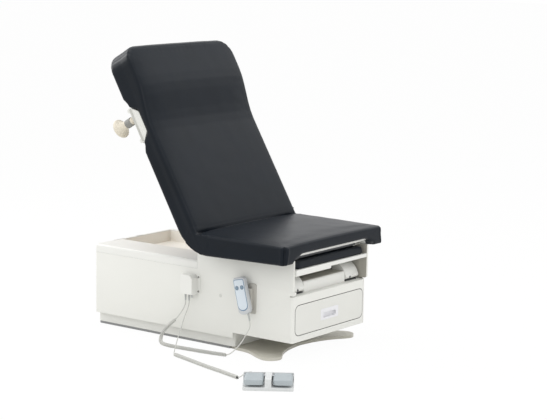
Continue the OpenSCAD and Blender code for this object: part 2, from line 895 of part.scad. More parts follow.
module seat_cushion() {
    half = cushion_w / 2;
    r = seat_corner_r;
    flat_end = seat_front - r;
    flat = [for (s = run_shares) let (x = hinge_x + s * (flat_end - hinge_x))
        [x, half, seat_top, seat_top + seat_low(x), crown_h, edge_r]];
    nose = [for (i = [1:plan_steps]) let (a = 90 * i / plan_steps, x = flat_end + r * sin(a),
        drop = rounding(lip_round, x - seat_front + lip_round))
        [x, half - r * (1 - cos(a)), seat_top - drop, seat_top + seat_low(x) + drop / 2, crown_h, edge_r]];
    color(black) difference() {
        loft(concat(flat, nose));
        hollow(hinge_x - cut, seat_front + cut, hinge_z, frame_low - seat_skirt_rear);
        translate([hinge_x, 0, hinge_z]) rotate([90, 0, 0])
            cylinder(r = seat_hole_r, h = 2 * cushion_w, center = true, $fn = 96);
        junction_cut();
    }
}

// A slice of a ring around the back's hinge, between two angles
module hinge_slice(y0, y1, a0, a1) {
    far = 2 * nose_r;
    side_solid(y0, y1) translate([hinge_x, hinge_z]) intersection() {
        difference() {
            circle(seat_hole_r - soft_gap);
            circle(nose_r + soft_gap);
        }
        polygon([[0, 0], far * [cos(a0), sin(a0)], far * [cos((a0 + a1) / 2), sin((a0 + a1) / 2)],
            far * [cos(a1), sin(a1)]]);
    }
}

module hinge_gusset() {
    y = cushion_w / 2 - edge_r;
    color(black) {
        difference() {
            hinge_slice(-y, y, nose_stop, back_angle - 3 * nose_stop);
            raised() block([hinge_x - nose_r, -cushion_w, hinge_z], [hinge_x, cushion_w, seat_top + soft_gap]);
        }
        both_sides() hinge_slice(skirt_in + clear, y, -gusset_angle, 2 * nose_stop);
    }
}

module hinge_pins() {
    out = lug_w / 2 + slide + ear_t;
    spring_out = spring_ear_y + ear_t;
    color("#C8CACC") {
        both_sides() translate([hinge_x, hinge_y + out, hinge_z]) rotate([90, 0, 0])
            cylinder(r = hinge_pin_r, h = 2 * out);
        translate([spring_x, spring_out, spring_z]) rotate([90, 0, 0])
            cylinder(r = spring_pin_r, h = 2 * spring_out);
    }
}

module back_frame() {
    top = hinge_z - back_board_t;
    low = top - back_tube;
    lug_reach = hinge_x - back_tube_x + back_tube;
    lug_x = hinge_x - spring_arm;
    lug_z = seat_top - spring_drop;
    color(steel) raised() {
        difference() {
            both_sides() {
                block([back_tube_end, hinge_y - back_tube / 2, low], [back_tube_x, hinge_y + back_tube / 2, top]);
                side_solid(hinge_y - lug_w / 2, hinge_y + lug_w / 2) translate([hinge_x, hinge_z]) mirror([1, 0])
                    ear_outline([[ear_r + clear, -back_board_t], [lug_reach, -back_board_t],
                        [lug_reach, low - hinge_z]]);
            }
            translate([hinge_x, 0, hinge_z]) rotate([90, 0, 0])
                cylinder(r = hinge_pin_r + fit, h = cushion_w, center = true);
        }
        for (x = [back_tube_end, flat_crease - knob_s - back_tube / 2, lug_x - back_tube / 2,
            back_tube_x - 2 * back_tube]) block([x, -hinge_y, low], [x + back_tube, hinge_y, top]);
        both_sides() side_solid(spring_ear_y, spring_ear_y + ear_t) {
            translate([lug_x, lug_z]) circle(spring_eye_r);
            translate([lug_x - spring_eye_r, lug_z]) square([2 * spring_eye_r, low - lug_z + cut]);
        }
        translate([lug_x, spring_ear_y + cut, lug_z]) rotate([90, 0, 0])
            cylinder(r = spring_pin_r, h = 2 * (spring_ear_y + cut));
    }
}

module back_board() {
    color("#B08D62") raised()
        block([back_board_end, -board_w / 2, hinge_z - back_board_t], [back_board_x, board_w / 2, hinge_z]);
}

function pillow(s) = pillow_rise * smooth((s - pillow_start) / pillow_ramp);

module back_cushion() {
    half = cushion_w / 2;
    r = head_corner_r;
    straight = back_len - r;
    far = 2 * nose_r;
    stop = back_angle - nose_stop;
    notch_in = bracket_len / 2 + notch_gap;
    notch_out = notch_in + notch_lip;
    head = [for (i = [plan_steps:-1:1]) let (a = 90 * i / plan_steps, s = straight + r * sin(a),
        drop = rounding(top_round, s - back_len + top_round))
        [flat_crease - s, half - r * (1 - cos(a)), seat_top + pillow(s) - drop,
            seat_top - skirt_depth + drop / 3, crown_h, edge_r]];
    run = [for (s = concat([straight, (straight + pillow_start + pillow_ramp) / 2],
        [for (k = [6:-1:0]) pillow_start + pillow_ramp * k / 6], [for (k = [3:-1:1]) pillow_start * k / 4],
        [0, flat_crease - hinge_x - nose_r]))
        [flat_crease - s, half, seat_top + pillow(s), seat_top - skirt_depth, crown_h, edge_r]];
    color(black) difference() {
        raised() difference() {
            loft(concat(head, run));
            hollow(flat_crease - back_len + head_wall, hinge_x + far, hinge_z, hinge_z - skirt_depth);
            side_solid(-cushion_w, cushion_w) translate([hinge_x, hinge_z]) difference() {
                translate([0, -far]) square([far, 2 * far]);
                circle(nose_r, $fn = 96);
            }
            side_solid(-skirt_in, skirt_in) translate([hinge_x, hinge_z])
                polygon([[0, 0], far * [cos(stop), sin(stop)], [far, far], [far, -far], [0, -far]]);
            both_sides() {
                side_solid(skirt_in - hollow_r / 2, cushion_w) at_bracket() polygon([[-notch_out - notch_run, -far],
                    [-notch_out - notch_run, -skirt_depth], [-notch_out, notch_lip - skirt_depth],
                    [notch_out, notch_lip - skirt_depth], [notch_out + notch_run, -skirt_depth],
                    [notch_out + notch_run, -far]]);
                side_solid(knob_y - bracket_w / 2 - clear, cushion_w) at_bracket()
                    polygon([[-notch_in, -skirt_depth], [-notch_in, 1.5 * bracket_r - bracket_rear],
                        [bracket_slope - notch_in, notch_gap - bracket_top],
                        [notch_in - bracket_slope, notch_gap - bracket_top],
                        [notch_in, 1.5 * bracket_r - bracket_rear], [notch_in, -skirt_depth]]);
                translate([hinge_x, hinge_y + lug_w / 2 + ear_t + pocket_gap, hinge_z]) rotate([90, 0, 0])
                    cylinder(r = nose_r * pocket_share, h = lug_w + 2 * ear_t + 2 * pocket_gap);
            }
        }
        junction_cut();
    }
}

// Places children with +X along the gas spring, from its lower pivot
module along_spring() {
    translate([spring_x, 0, spring_z]) rotate([0, -spring_polar, 0]) children();
}

module spring_tube() {
    bore = spring_r - tube_wall;
    color("#3A3C3F") along_spring() difference() {
        union() {
            rotate([90, 0, 0]) cylinder(r = spring_eye_r, h = 2 * spring_ear_y - 2 * slide, center = true);
            rotate([0, 90, 0]) cylinder(r = spring_eye_r * 0.7, h = spring_eye_r + 2 * tube_wall);
            translate([spring_eye_r + tube_wall, 0, 0]) rotate([0, 90, 0])
                cylinder(r = spring_r, h = spring_tube - spring_eye_r - tube_wall);
        }
        translate([spring_eye_r + 3 * tube_wall, 0, 0]) rotate([0, 90, 0]) cylinder(r = bore, h = spring_tube);
        rotate([90, 0, 0]) cylinder(r = spring_pin_r + fit, h = cushion_w, center = true);
    }
}

module spring_rod() {
    color("#D2D4D6") along_spring() difference() {
        union() {
            translate([spring_rest, 0, 0]) rotate([90, 0, 0])
                cylinder(r = spring_eye_r - 1.5 * tube_wall / 2, h = 2 * spring_ear_y - 2 * slide, center = true);
            translate([spring_tube - rod_in, 0, 0]) rotate([0, 90, 0])
                cylinder(r = spring_rod_r, h = spring_rest - spring_tube + rod_in);
        }
        translate([spring_rest, 0, 0]) rotate([90, 0, 0])
            cylinder(r = spring_pin_r + fit, h = cushion_w, center = true);
    }
}

// Places an outline in X and Z at the middle of a roll bracket, on the surface of the level back
module at_bracket() {
    translate([flat_crease - knob_s + bracket_shift, seat_top]) children();
}

module roll_bracket() {
    x = flat_crease - knob_s;
    mid = x + bracket_shift;
    low = seat_top - bracket_rear;
    half = bracket_len / 2;
    r = bracket_r;
    y0 = knob_y - bracket_w / 2;
    y1 = knob_y + bracket_w / 2;
    raised() difference() {
        union() {
            block([mid - plate_len / 2, hinge_y + back_tube / 2, seat_top - plate_d - plate_t],
                [mid + plate_len / 2, y0 + cut, seat_top - plate_d]);
            side_solid(y0, y1) at_bracket() {
                hull() for (m = [-1, 1]) {
                    translate([m * (half - r), r - bracket_rear]) circle(r, $fn = 32);
                    translate([m * (half - r - bracket_slope), -bracket_top - r]) circle(r, $fn = 32);
                }
                for (m = [0, 1]) mirror([m, 0]) {
                    translate([half - claw_len, -bracket_rear - claw_d + r]) square([claw_len, claw_d]);
                    translate([half - claw_len + r, -bracket_rear - claw_d]) square([claw_len - 2 * r, r + cut]);
                    for (c = [half - claw_len + r, half - r])
                        translate([c, -bracket_rear - claw_d + r]) circle(r, $fn = 32);
                }
            }
        }
        translate([x, knob_y, low - cut]) cylinder(r = spigot_r + fit, h = spigot_len + clear + cut);
    }
}

module roll_knob() {
    low = seat_top - knob_d;
    neck = seat_top - bracket_rear - slide;
    color(beige) raised() translate([flat_crease - knob_s, knob_y, 0]) {
        translate([0, 0, neck - cut]) cylinder(r = spigot_r, h = spigot_len + cut);
        translate([0, 0, low + knob_t - cut]) cylinder(r = stem_r, h = neck - low - knob_t + cut);
        translate([0, 0, low]) rotate_extrude($fn = 72)
            polygon([for (p = knob_shares) [p.x * knob_r, p.y * knob_t]]);
    }
}

module roll_bracket_far() {
    color(white) roll_bracket();
}

module roll_bracket_near() {
    color(white) mirror([0, 1, 0]) roll_bracket();
}

module roll_knob_far() {
    roll_knob();
}

module roll_knob_near() {
    mirror([0, 1, 0]) roll_knob();
}

// A C-shaped rail open towards the middle, around a bar at height z
module c_rail(x0, x1, bar_in, bar_out, z, h, out) {
    both_sides() {
        block([x0, bar_out + slide, z - h / 2 - slide - lip_t], [x1, out, z + h / 2 + slide + lip_t]);
        for (m = [0, 1]) translate([0, 0, z]) mirror([0, 0, m])
            block([x0, bar_in, h / 2 + slide], [x1, bar_out + slide, h / 2 + slide + lip_t]);
    }
}

module drawer_runners() {
    x0 = box_x + sheet_t + clear;
    x1 = front_x - drawer_t - clear;
    out = tray_w / 2 + bar_w;
    color(steel) {
        c_rail(x0, x1, tray_w / 2 + clear, out, bar_z, bar_h, out + slide + lip_t);
        both_sides() for (x = [x0, x1 - 2 * bar_h])
            block([x, out + slide, bar_z - bar_h / 2], [x + bar_h, inner_y, bar_z + bar_h / 2]);
    }
}

module drawer_tray() {
    x1 = front_x - drawer_t;
    x0 = x1 - drawer_depth;
    y = tray_w / 2;
    t = tray_wall;
    color("#D9D9D4") {
        difference() {
            block([x0, -y, tray_low], [x1, y, tray_low + tray_h]);
            block([x0 + t, -y + t, tray_low + t], [x1 - t, y - t, tray_low + tray_h + cut]);
        }
        both_sides() block([x0, y, bar_z - bar_h / 2], [x1 - clear, y + bar_w, bar_z + bar_h / 2]);
    }
}

module drawer_front() {
    color(white) difference() {
        drawer_outline(front_x - drawer_t, front_x, 0);
        front_solid(front_x - 2 * drawer_t, front_x + cut) translate([0, handle_mid])
            round_rect(handle_w, handle_h, handle_r);
    }
}

module drawer_handle() {
    low = front_x - drawer_t;
    color("#F0F0EC") difference() {
        front_solid(low, front_x) translate([0, handle_mid])
            round_rect(handle_w - slide, handle_h - slide, handle_r - slide / 2);
        front_solid(front_x - pull_depth, front_x + cut) translate([0, pull_mid])
            round_rect(pull_w, pull_h, pull_h / 3);
        front_solid(front_x - pull_depth, front_x - 2 * sheet_t) translate([0, pull_mid + pull_h / 4])
            round_rect(pull_w, pull_h, pull_h / 3);
    }
}

module leg_rails() {
    out = pan_w / 2 - clear;
    color(steel) {
        c_rail(leg_rail_x, leg_front - leg_lip - clear, pad_w / 2 + clear / 2, out, leg_bar_z, leg_bar_h,
            side_y - cheek_t);
        both_sides() block([leg_rail_x, side_y - cheek_t - cut, leg_bar_z - leg_bar_h / 2],
            [rail_front - clear, inner_y, leg_bar_z + leg_bar_h / 2]);
    }
}

module leg_pan() {
    x0 = leg_rear;
    x1 = leg_front - leg_lip;
    y = pad_w / 2;
    t = 2 * sheet_t;
    r = leg_pan_h / 2;
    color(white) {
        difference() {
            block([x0, -y, pan_low], [x1 + cut, y, pad_low]);
            block([x0 + t, -y + t, pan_low - cut], [x1 - t, y - t, pad_low - t]);
        }
        both_sides() block([leg_rail_x, y - cut, leg_bar_z - leg_bar_h / 2],
            [x1 + cut, pan_w / 2 - clear, leg_bar_z + leg_bar_h / 2]);
        both_sides() block([leg_rail_x, y - t, leg_bar_z - leg_bar_h / 2], [x0 + cut, y, leg_bar_z + leg_bar_h / 2]);
        side_solid(-pan_w / 2, pan_w / 2) {
            translate([x1, pan_low + r / 2]) square([leg_lip, leg_pan_h - r / 2]);
            translate([x1, pan_low]) square([leg_lip - r / 2, leg_pan_h]);
            translate([leg_front - r / 2, pan_low + r / 2]) circle(r / 2);
        }
    }
}

module leg_pad() {
    x0 = leg_rear;
    x1 = leg_front - leg_lip / 2;
    r = seat_corner_r;
    half = pad_w / 2;
    run = [for (s = [0, 0.5, 1]) let (x = x0 + s * (x1 - r - x0)) [x, half, pad_top, pad_low + soft_gap, clear, low_r]];
    nose = [for (i = [1:5]) let (a = 18 * i, x = x1 - r + r * sin(a), drop = rounding(low_r, x - x1 + low_r))
        [x, half - r * (1 - cos(a)), pad_top - drop, pad_low + soft_gap, clear, low_r]];
    color("#1F2124") loft(concat(run, nose));
}

module at_stirrups() {
    both_sides() translate([0, stirrup_y, 0]) children();
}

module stirrup_sleeves() {
    inner = arm_w + 2 * slide;
    outer = inner + 2 * sleeve_t;
    under = arm_z - outer / 2;
    color(steel) at_stirrups() {
        difference() {
            block([arm_rear, -outer / 2, under], [sleeve_end, outer / 2, under + outer]);
            block([arm_rear - cut, -inner / 2, arm_z - inner / 2], [sleeve_end + cut, inner / 2, arm_z + inner / 2]);
        }
        block([arm_rear, -outer / 2, chassis_z + chassis_t], [arm_rear + arm_w, outer / 2, under]);
        block([sleeve_end - arm_w, -outer / 2, ledge_z], [sleeve_end, outer / 2, under]);
    }
}

module stirrup_arm() {
    translate([0, stirrup_y, 0]) difference() {
        block([arm_rear + clear, -arm_w / 2, arm_z - arm_w / 2], [cup_web, arm_w / 2, arm_z + arm_w / 2]);
        block([arm_rear, tube_wall - arm_w / 2, tube_wall + arm_z - arm_w / 2],
            [cup_web + cut, arm_w / 2 - tube_wall, arm_z + arm_w / 2 - tube_wall]);
    }
}

// Side outline of a heel cup: a quarter round with a rolled lower front edge
module cup_outline(inset) {
    r = cup_r - inset;
    roll = cup_roll - inset;
    translate([cup_front - cup_r, cup_low]) intersection() {
        union() {
            difference() {
                circle(r, $fn = 96);
                translate([-cup_r - cut, -cup_r - cut]) square([2 * cup_r + 2 * cut, cup_r + cut + cup_roll]);
            }
            translate([0, inset]) square([cup_r - cup_roll, cup_roll]);
            translate([cup_r - cup_roll, cup_roll]) circle(roll);
        }
        square([cup_r, cup_r]);
    }
}

module heel_cup() {
    y = cup_w / 2;
    translate([0, stirrup_y, 0]) difference() {
        union() {
            difference() {
                side_solid(-y, y) cup_outline(0);
                translate([-cut, 0, 0]) side_solid(cup_wall - y, y - cup_wall) cup_outline(cup_wall);
                block([cup_front - cup_r - cut, cup_wall - y, cup_low + cup_wall],
                    [cup_front - cup_r + cup_wall, y - cup_wall, cup_low + cup_r - cup_wall]);
            }
            intersection() {
                side_solid(-y, y) cup_outline(0);
                block([cup_web, -arm_w / 2, cup_low], [cup_web + cup_wall, arm_w / 2, cup_low + cup_r]);
            }
        }
        translate([cup_front + cut, 0, cup_low + cup_roll]) rotate([0, -90, 0])
            cylinder(r = cup_wall, h = 2 * cut + clear);
    }
}

module stirrup_arm_far() {
    color("#C4C6C8") stirrup_arm();
}

module stirrup_arm_near() {
    color("#C4C6C8") mirror([0, 1, 0]) stirrup_arm();
}

module heel_cup_far() {
    color(white) heel_cup();
}

module heel_cup_near() {
    color(white) mirror([0, 1, 0]) heel_cup();
}

// Side outline of the cover between the stirrups
module bar_outline(inset) {
    r = cover_bar_r - inset;
    h = cover_bar_h - inset;
    x1 = cup_front - cup_wall - inset;
    x0 = x1 - cover_bar_d + 2 * inset;
    translate([x0, ledge_z]) square([x1 - x0, h - r]);
    translate([x0, ledge_z]) square([x1 - x0 - r, h]);
    translate([x1 - r, ledge_z + h - r]) circle(r);
}

module stirrup_cover() {
    y = stirrup_y - cup_w / 2 - clear;
    color(white) difference() {
        side_solid(-y, y) bar_outline(0);
        translate([0, 0, -cut]) side_solid(sleeve_t - y, y - sleeve_t) bar_outline(sleeve_t);
    }
}

module cable_box() {
    x = cable_w / 2;
    z = cable_h / 2;
    bevel = cable_t / 3;
    color(white) translate([cable_x, -side_y, cable_z]) {
        difference() {
            side_solid(-cable_t, 0)
                polygon([[-x, -z], [x, -z], [x, z - bevel], [x - bevel, z], [-x, z]]);
            block([tube_wall - x, tube_wall - cable_t, tube_wall - z], [x - tube_wall, cut, z - bevel]);
        }
        block([x - cut, -liner_t, -z], [x + cable_ear, 0, z]);
        for (m = [-1, 1]) translate([x + cable_ear / 2, 0, m * z * 0.75]) rotate([90, 0, 0])
            cylinder(r = cable_ear / 4, h = liner_t + clear);
    }
}

// A tapered strain relief with grooves, hanging down from z = 0
module relief(length) {
    grooves = 5;
    step = length / (grooves + 1);
    rotate_extrude() polygon(concat([[0, 0], [relief_top_r, 0]],
        [for (i = [1:grooves]) let (r = relief_top_r + (relief_low_r - relief_top_r) * i / (grooves + 1))
            each [[r, -i * step + step / 4], [r - step / 8, -i * step + step / 8],
                [r - step / 8, -i * step - step / 8], [r, -i * step - step / 4]]],
        [[relief_low_r, -length], [0, -length]]));
}

module strain_reliefs() {
    low = cable_z - cable_h / 2;
    color("#8C8F92") for (i = [0:len(outlet_x) - 1])
        translate([outlet_x[i], -outlet_y, low]) relief(i < 2 ? relief_len : relief_len / 2);
}

module at_handset() {
    translate([handset_x, -handset_y, handset_z]) rotate([0, -handset_lean, 0]) children();
}

module handset_hook() {
    color("#B9BCBE") translate([hook_x, -side_y, hook_z]) {
        side_solid(-hook_t, 0) round_rect(hook_w, hook_h, hook_w / 5);
        side_solid(side_y - handset_y + soft_gap, cut - hook_t) translate([-hook_w / 8, 0])
            round_rect(hook_w / 2, hook_h * 0.7, hook_w / 8);
    }
}

module handset_body() {
    edge = handset_r / 4;
    color("#C9CCCE") at_handset() difference() {
        hull() {
            side_solid(-handset_t + edge, -edge) round_rect(handset_w, handset_len, handset_r, $fn = 32);
            side_solid(-handset_t, 0)
                round_rect(handset_w - 2 * edge, handset_len - 2 * edge, handset_r - edge, $fn = 32);
        }
        for (x = [-1, 1]) translate([x * button_pitch / 2, -handset_t - cut, button_y]) rotate([-90, 0, 0])
            cylinder(r = button_r + soft_gap, h = button_h / 2 + button_travel + cut);
    }
}

module handset_face() {
    color("#CDD8E2") at_handset() difference() {
        side_solid(-handset_t - face_t, -handset_t) translate([0, face_shift])
            round_rect(face_w, face_len, handset_r - (handset_w - face_w) / 2);
        for (x = [-1, 1]) translate([x * button_pitch / 2, 0, button_y]) rotate([90, 0, 0])
            cylinder(r = button_r + soft_gap, h = 2 * handset_t);
    }
}

module handset_button(x) {
    at_handset() translate([x * button_pitch / 2, -handset_t + button_h / 2 - soft_gap / 2, button_y])
        rotate([90, 0, 0]) cylinder(r = button_r, h = button_h);
}

module button_up() {
    color("#6F8CA3") handset_button(-1);
}

module button_down() {
    color("#6F8CA3") handset_button(1);
}

module handset_relief() {
    color("#8C8F92") at_handset() translate([relief_shift, -handset_t / 2, -handset_len / 2]) relief(handset_relief_len);
}

module at_switch() {
    translate([switch_x, -switch_y, 0]) rotate([0, 0, switch_turn]) children();
}

// The bore or the pin on which both pedals turn
module pedal_axis(r, length) {
    translate([-length / 2, pedal_pin_y, pedal_pin_z]) rotate([0, 90, 0]) cylinder(r = r, h = length);
}

module switch_base() {
    x = switch_w / 2;
    y = switch_d / 2;
    top = switch_h - clear;
    color("#D4D7D8") at_switch() difference() {
        union() {
            linear_extrude(switch_low) round_rect(switch_w, switch_d, pedal_r);
            intersection() {
                linear_extrude(switch_h) round_rect(switch_w, switch_d, pedal_r);
                union() {
                    block([-x, pedal_rear + clear, 0], [x, y, top]);
                    block([-rib_w / 2, -y, 0], [rib_w / 2, y, switch_h]);
                    both_sides_x() block([x - switch_side, pedal_pin_y - pedal_r, 0], [x, y, top]);
                }
            }
        }
        pedal_axis(pedal_pin_r + fit, 2 * switch_w);
    }
}

module both_sides_x() {
    children();
    mirror([1, 0, 0]) children();
}

module pedal(side) {
    y0 = clear - switch_d / 2;
    low = switch_low + pedal_drop;
    at_switch() difference() {
        translate([side * (rib_w / 2 + clear + pedal_w / 2), 0, 0]) front_solid(-pedal_w / 2, pedal_w / 2) {
            translate([y0 + pedal_r, low]) square([pedal_pin_y - y0 - pedal_r, switch_h - low]);
            translate([y0, low]) square([pedal_r, switch_h - low - pedal_r]);
            translate([y0 + pedal_r, switch_h - pedal_r]) circle(pedal_r);
            translate([pedal_pin_y, pedal_pin_z]) circle(pedal_rear - pedal_pin_y);
        }
        pedal_axis(pedal_pin_r + fit, 2 * switch_w);
    }
}

module pedal_up() {
    color(grey) pedal(-1);
}

module pedal_down() {
    color(grey) pedal(1);
}

module switch_pin() {
    color(steel) at_switch() pedal_axis(pedal_pin_r, switch_w - clear);
}

// Length along a list of points up to each of them
function lengths(p) = [for (i = 0, s = 0; i < len(p);
    s = s + (i + 1 < len(p) ? norm(p[i + 1] - p[i]) : 0), i = i + 1) s];
function column(p, s, k) = [for (i = [0:len(p) - 1]) [s[i], p[i][k]]];
function spread(p, n) = let (s = lengths(p), total = s[len(s) - 1], x = column(p, s, 0), y = column(p, s, 1),
    z = column(p, s, 2)) [for (i = [0:n]) [for (t = [x, y, z]) lookup(total * i / n, t)]];
function unit(v) = v / norm(v);
function heading(p, i) = unit(p[min(i + 1, len(p) - 1)] - p[max(i - 1, 0)]);

// The centreline of a curled stretch: a helix round the route that starts and ends on it
function curled(route, turns) = let (n = turns * curl_rings, p = spread(curve(route, curl_rings), n),
    r = (curl_d - cord_d) / 2)
    [for (i = [0:n]) let (t = heading(p, i), side = unit(cross([0, 0, 1], t)), up = cross(t, side),
        a = 360 * i / curl_rings - 90, grow = min(1, i / curl_rings, (n - i) / curl_rings))
        p[i] + r * grow * (cos(a) * side + sin(a) * up)];

function joined(a, b) = concat(a, [for (i = [1:len(b) - 1]) b[i]]);
handset_line = joined(joined(curve(handset_lead, lead_steps), curled(handset_curl, curls)),
    curve(handset_tail, lead_steps));
pedal_line = joined(joined(curve(pedal_lead, lead_steps), curled(pedal_curl, curls)),
    curve(pedal_tail, lead_steps));

// The least gap between turns that lie more than half a curl apart
function self_gap(p) = min([for (i = [0:len(p) - 1]) for (j = [i + curl_rings - 2:1:len(p) - 1])
    norm(p[i] - p[j])]) - cord_d;
echo(handset_cord_gap = self_gap(handset_line), pedal_cord_gap = self_gap(pedal_line));

// An unbroken tube along a centreline, its rings carried on without twist
module tube(p) {
    n = len(p);
    first = unit(cross(heading(p, 0), [0, 1, 0.3]));
    sides = [for (i = 0, v = first; i < n; i = i + 1,
        v = i < n ? let (t = heading(p, i)) unit(v - (v * t) * t) : v) v];
    points = [for (i = [0:n - 1]) let (t = heading(p, i), w = cross(t, sides[i])) for (k = [0:cord_sides - 1])
        let (a = 360 * k / cord_sides) p[i] + cord_d / 2 * (cos(a) * sides[i] + sin(a) * w)];
    m = cord_sides;
    skin = [for (i = [0:n - 2]) for (k = [0:m - 1]) let (a = i * m + k, b = i * m + (k + 1) % m)
        each [[a, b + m, b], [a, a + m, b + m]]];
    caps = [for (k = [1:m - 2]) each [[0, k, k + 1], [(n - 1) * m, (n - 1) * m + k + 1, (n - 1) * m + k]]];
    polyhedron(points, concat(skin, caps));
}

module handset_cord() {
    color("#BDBDB8") tube(handset_line);
}

module pedal_cord() {
    color("#BDBDB8") tube(pedal_line);
}

floor_plate();
base_frame();
plinth_cover();
plinth_gasket();
column_outer();
lift_motor();
column_middle();
mid_shroud();
column_inner();
chassis_frame();
side_panel_near();
side_panel_far();
rear_panel();
top_cover();
well_liner();
front_box();
front_panel();
control_box();
seat_frame();
seat_board();
seat_cushion();
hinge_gusset();
hinge_pins();
back_frame();
back_board();
back_cushion();
spring_tube();
spring_rod();
roll_bracket_near();
roll_bracket_far();
roll_knob_near();
roll_knob_far();
drawer_runners();
drawer_tray();
drawer_front();
drawer_handle();
leg_rails();
leg_pan();
leg_pad();
stirrup_sleeves();
stirrup_cover();
stirrup_arm_near();
heel_cup_near();
stirrup_arm_far();
heel_cup_far();
cable_box();
strain_reliefs();
handset_hook();
handset_body();
handset_face();
button_up();
button_down();
handset_relief();
switch_base();
pedal_up();
pedal_down();
switch_pin();
handset_cord();
pedal_cord();
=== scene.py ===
import bpy, bmesh, math
import numpy as np
from mathutils import Matrix, Vector, kdtree, noise


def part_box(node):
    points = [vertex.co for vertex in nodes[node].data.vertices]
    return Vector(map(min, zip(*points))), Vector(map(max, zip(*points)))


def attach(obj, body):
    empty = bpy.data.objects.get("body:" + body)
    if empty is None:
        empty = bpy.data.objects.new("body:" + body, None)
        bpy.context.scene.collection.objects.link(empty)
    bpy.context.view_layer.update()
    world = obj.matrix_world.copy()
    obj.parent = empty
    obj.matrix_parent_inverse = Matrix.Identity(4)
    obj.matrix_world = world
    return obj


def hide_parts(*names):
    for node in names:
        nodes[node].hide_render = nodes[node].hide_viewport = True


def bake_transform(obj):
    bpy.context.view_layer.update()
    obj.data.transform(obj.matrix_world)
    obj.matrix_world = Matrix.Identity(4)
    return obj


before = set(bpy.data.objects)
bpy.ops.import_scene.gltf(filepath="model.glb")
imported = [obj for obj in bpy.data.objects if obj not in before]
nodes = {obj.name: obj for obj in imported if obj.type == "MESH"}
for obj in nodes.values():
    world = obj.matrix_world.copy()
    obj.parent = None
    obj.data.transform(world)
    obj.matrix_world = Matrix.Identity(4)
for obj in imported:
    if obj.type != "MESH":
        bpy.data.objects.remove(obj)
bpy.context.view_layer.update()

scene = bpy.context.scene

# The camera
# A long lens at about chest height, off the foot end's near corner, as the photograph
# was taken. The small roll is the photograph's own.
azimuth, elevation, roll = math.radians(37.0), math.radians(9.33), math.radians(0.86)
aim, distance = Vector((0.3934, 0.0, 0.562)), 7.4293
focal_length, sensor_width = 115.95, 36.0
nearest_seen, farthest_seen = 0.1, 60.0


# A new object for some data, linked to the scene
def placed(name, data):
    made = bpy.data.objects.new(name, data)
    scene.collection.objects.link(made)
    return made


back = Vector((math.sin(azimuth) * math.cos(elevation), -math.cos(azimuth) * math.cos(elevation),
    math.sin(elevation)))
right = (-back).cross(Vector((0, 0, 1))).normalized()
up = right.cross(-back)
right, up = right * math.cos(roll) + up * math.sin(roll), up * math.cos(roll) - right * math.sin(roll)
camera = placed("camera", bpy.data.cameras.new("camera"))
camera.data.lens, camera.data.sensor_width = focal_length, sensor_width
camera.data.clip_start, camera.data.clip_end = nearest_seen, farthest_seen
turn = Matrix((right, up, back)).transposed().to_4x4()
camera.matrix_world = Matrix.Translation(aim + back * distance) @ turn
scene.camera = camera

# The studio
# A pale sweep under soft, even light: a big overhead bank, a key from the left and three
# fills, so that white paint keeps its shade and black vinyl keeps its form.

# A colour code as the linear values that a shader takes
def srgb(code):
    parts = [int(code[i:i + 2], 16) / 255 for i in (1, 3, 5)]
    return tuple(c / 12.92 if c <= 0.04045 else ((c + 0.055) / 1.055) ** 2.4 for c in parts) + (1.0,)


# A new shader node, with its settings and with a constant or a link in each given socket
def put(tree, kind, settings=None, sockets=None):
    made = tree.nodes.new(kind)
    for name, value in (settings or {}).items():
        setattr(made, name, value)
    for name, value in (sockets or {}).items():
        if isinstance(value, bpy.types.NodeSocket):
            tree.links.new(value, made.inputs[name])
        else:
            made.inputs[name].default_value = value
    return made


# A new material and its empty node tree
def blank(name):
    material = bpy.data.materials.new(name)
    material.use_nodes = True
    material.node_tree.nodes.clear()
    return material, material.node_tree


# 1 where the camera sees a surface, itself or mirrored, and otherwise 0
def seen_share(tree):
    ray = put(tree, "ShaderNodeLightPath")
    either = put(tree, "ShaderNodeMath", {"operation": "MAXIMUM"},
        {0: ray.outputs["Is Camera Ray"], 1: ray.outputs["Is Glossy Ray"]})
    return either.outputs[0]


# The sweep looks almost white, and still takes the shadows and lights the table from below
sweep_half, sweep_drop, white_share = 30.0, 0.0005, 0.96
material, tree = blank("studio_paper")
share = put(tree, "ShaderNodeMath", {"operation": "MULTIPLY"}, {0: seen_share(tree), 1: white_share})
paper = put(tree, "ShaderNodeBsdfDiffuse", sockets={"Color": srgb("#F4F4F2")})
white = put(tree, "ShaderNodeEmission", sockets={"Color": (1, 1, 1, 1), "Strength": 1.0})
both = put(tree, "ShaderNodeMixShader",
    sockets={0: share.outputs[0], 1: paper.outputs[0], 2: white.outputs[0]})
put(tree, "ShaderNodeOutputMaterial", sockets={"Surface": both.outputs[0]})
form = bmesh.new()
bmesh.ops.create_grid(form, x_segments=1, y_segments=1, size=sweep_half)
sweep = bpy.data.meshes.new("floor")
form.to_mesh(sweep)
form.free()
sweep.materials.append(material)
floor = placed("floor", sweep)
floor.location.z = -sweep_drop

# The surround is white where it is seen, and dimmer as a light
surround_light = 0.74
world = bpy.data.worlds.new("studio")
scene.world = world
world.use_nodes = True
tree = world.node_tree
tree.nodes.clear()
strength = put(tree, "ShaderNodeMapRange",
    sockets={"Value": seen_share(tree), "To Min": surround_light, "To Max": 1.0})
sky = put(tree, "ShaderNodeBackground", sockets={"Color": (1, 1, 1, 1), "Strength": strength.outputs[0]})
put(tree, "ShaderNodeOutputWorld", sockets={"Surface": sky.outputs[0]})

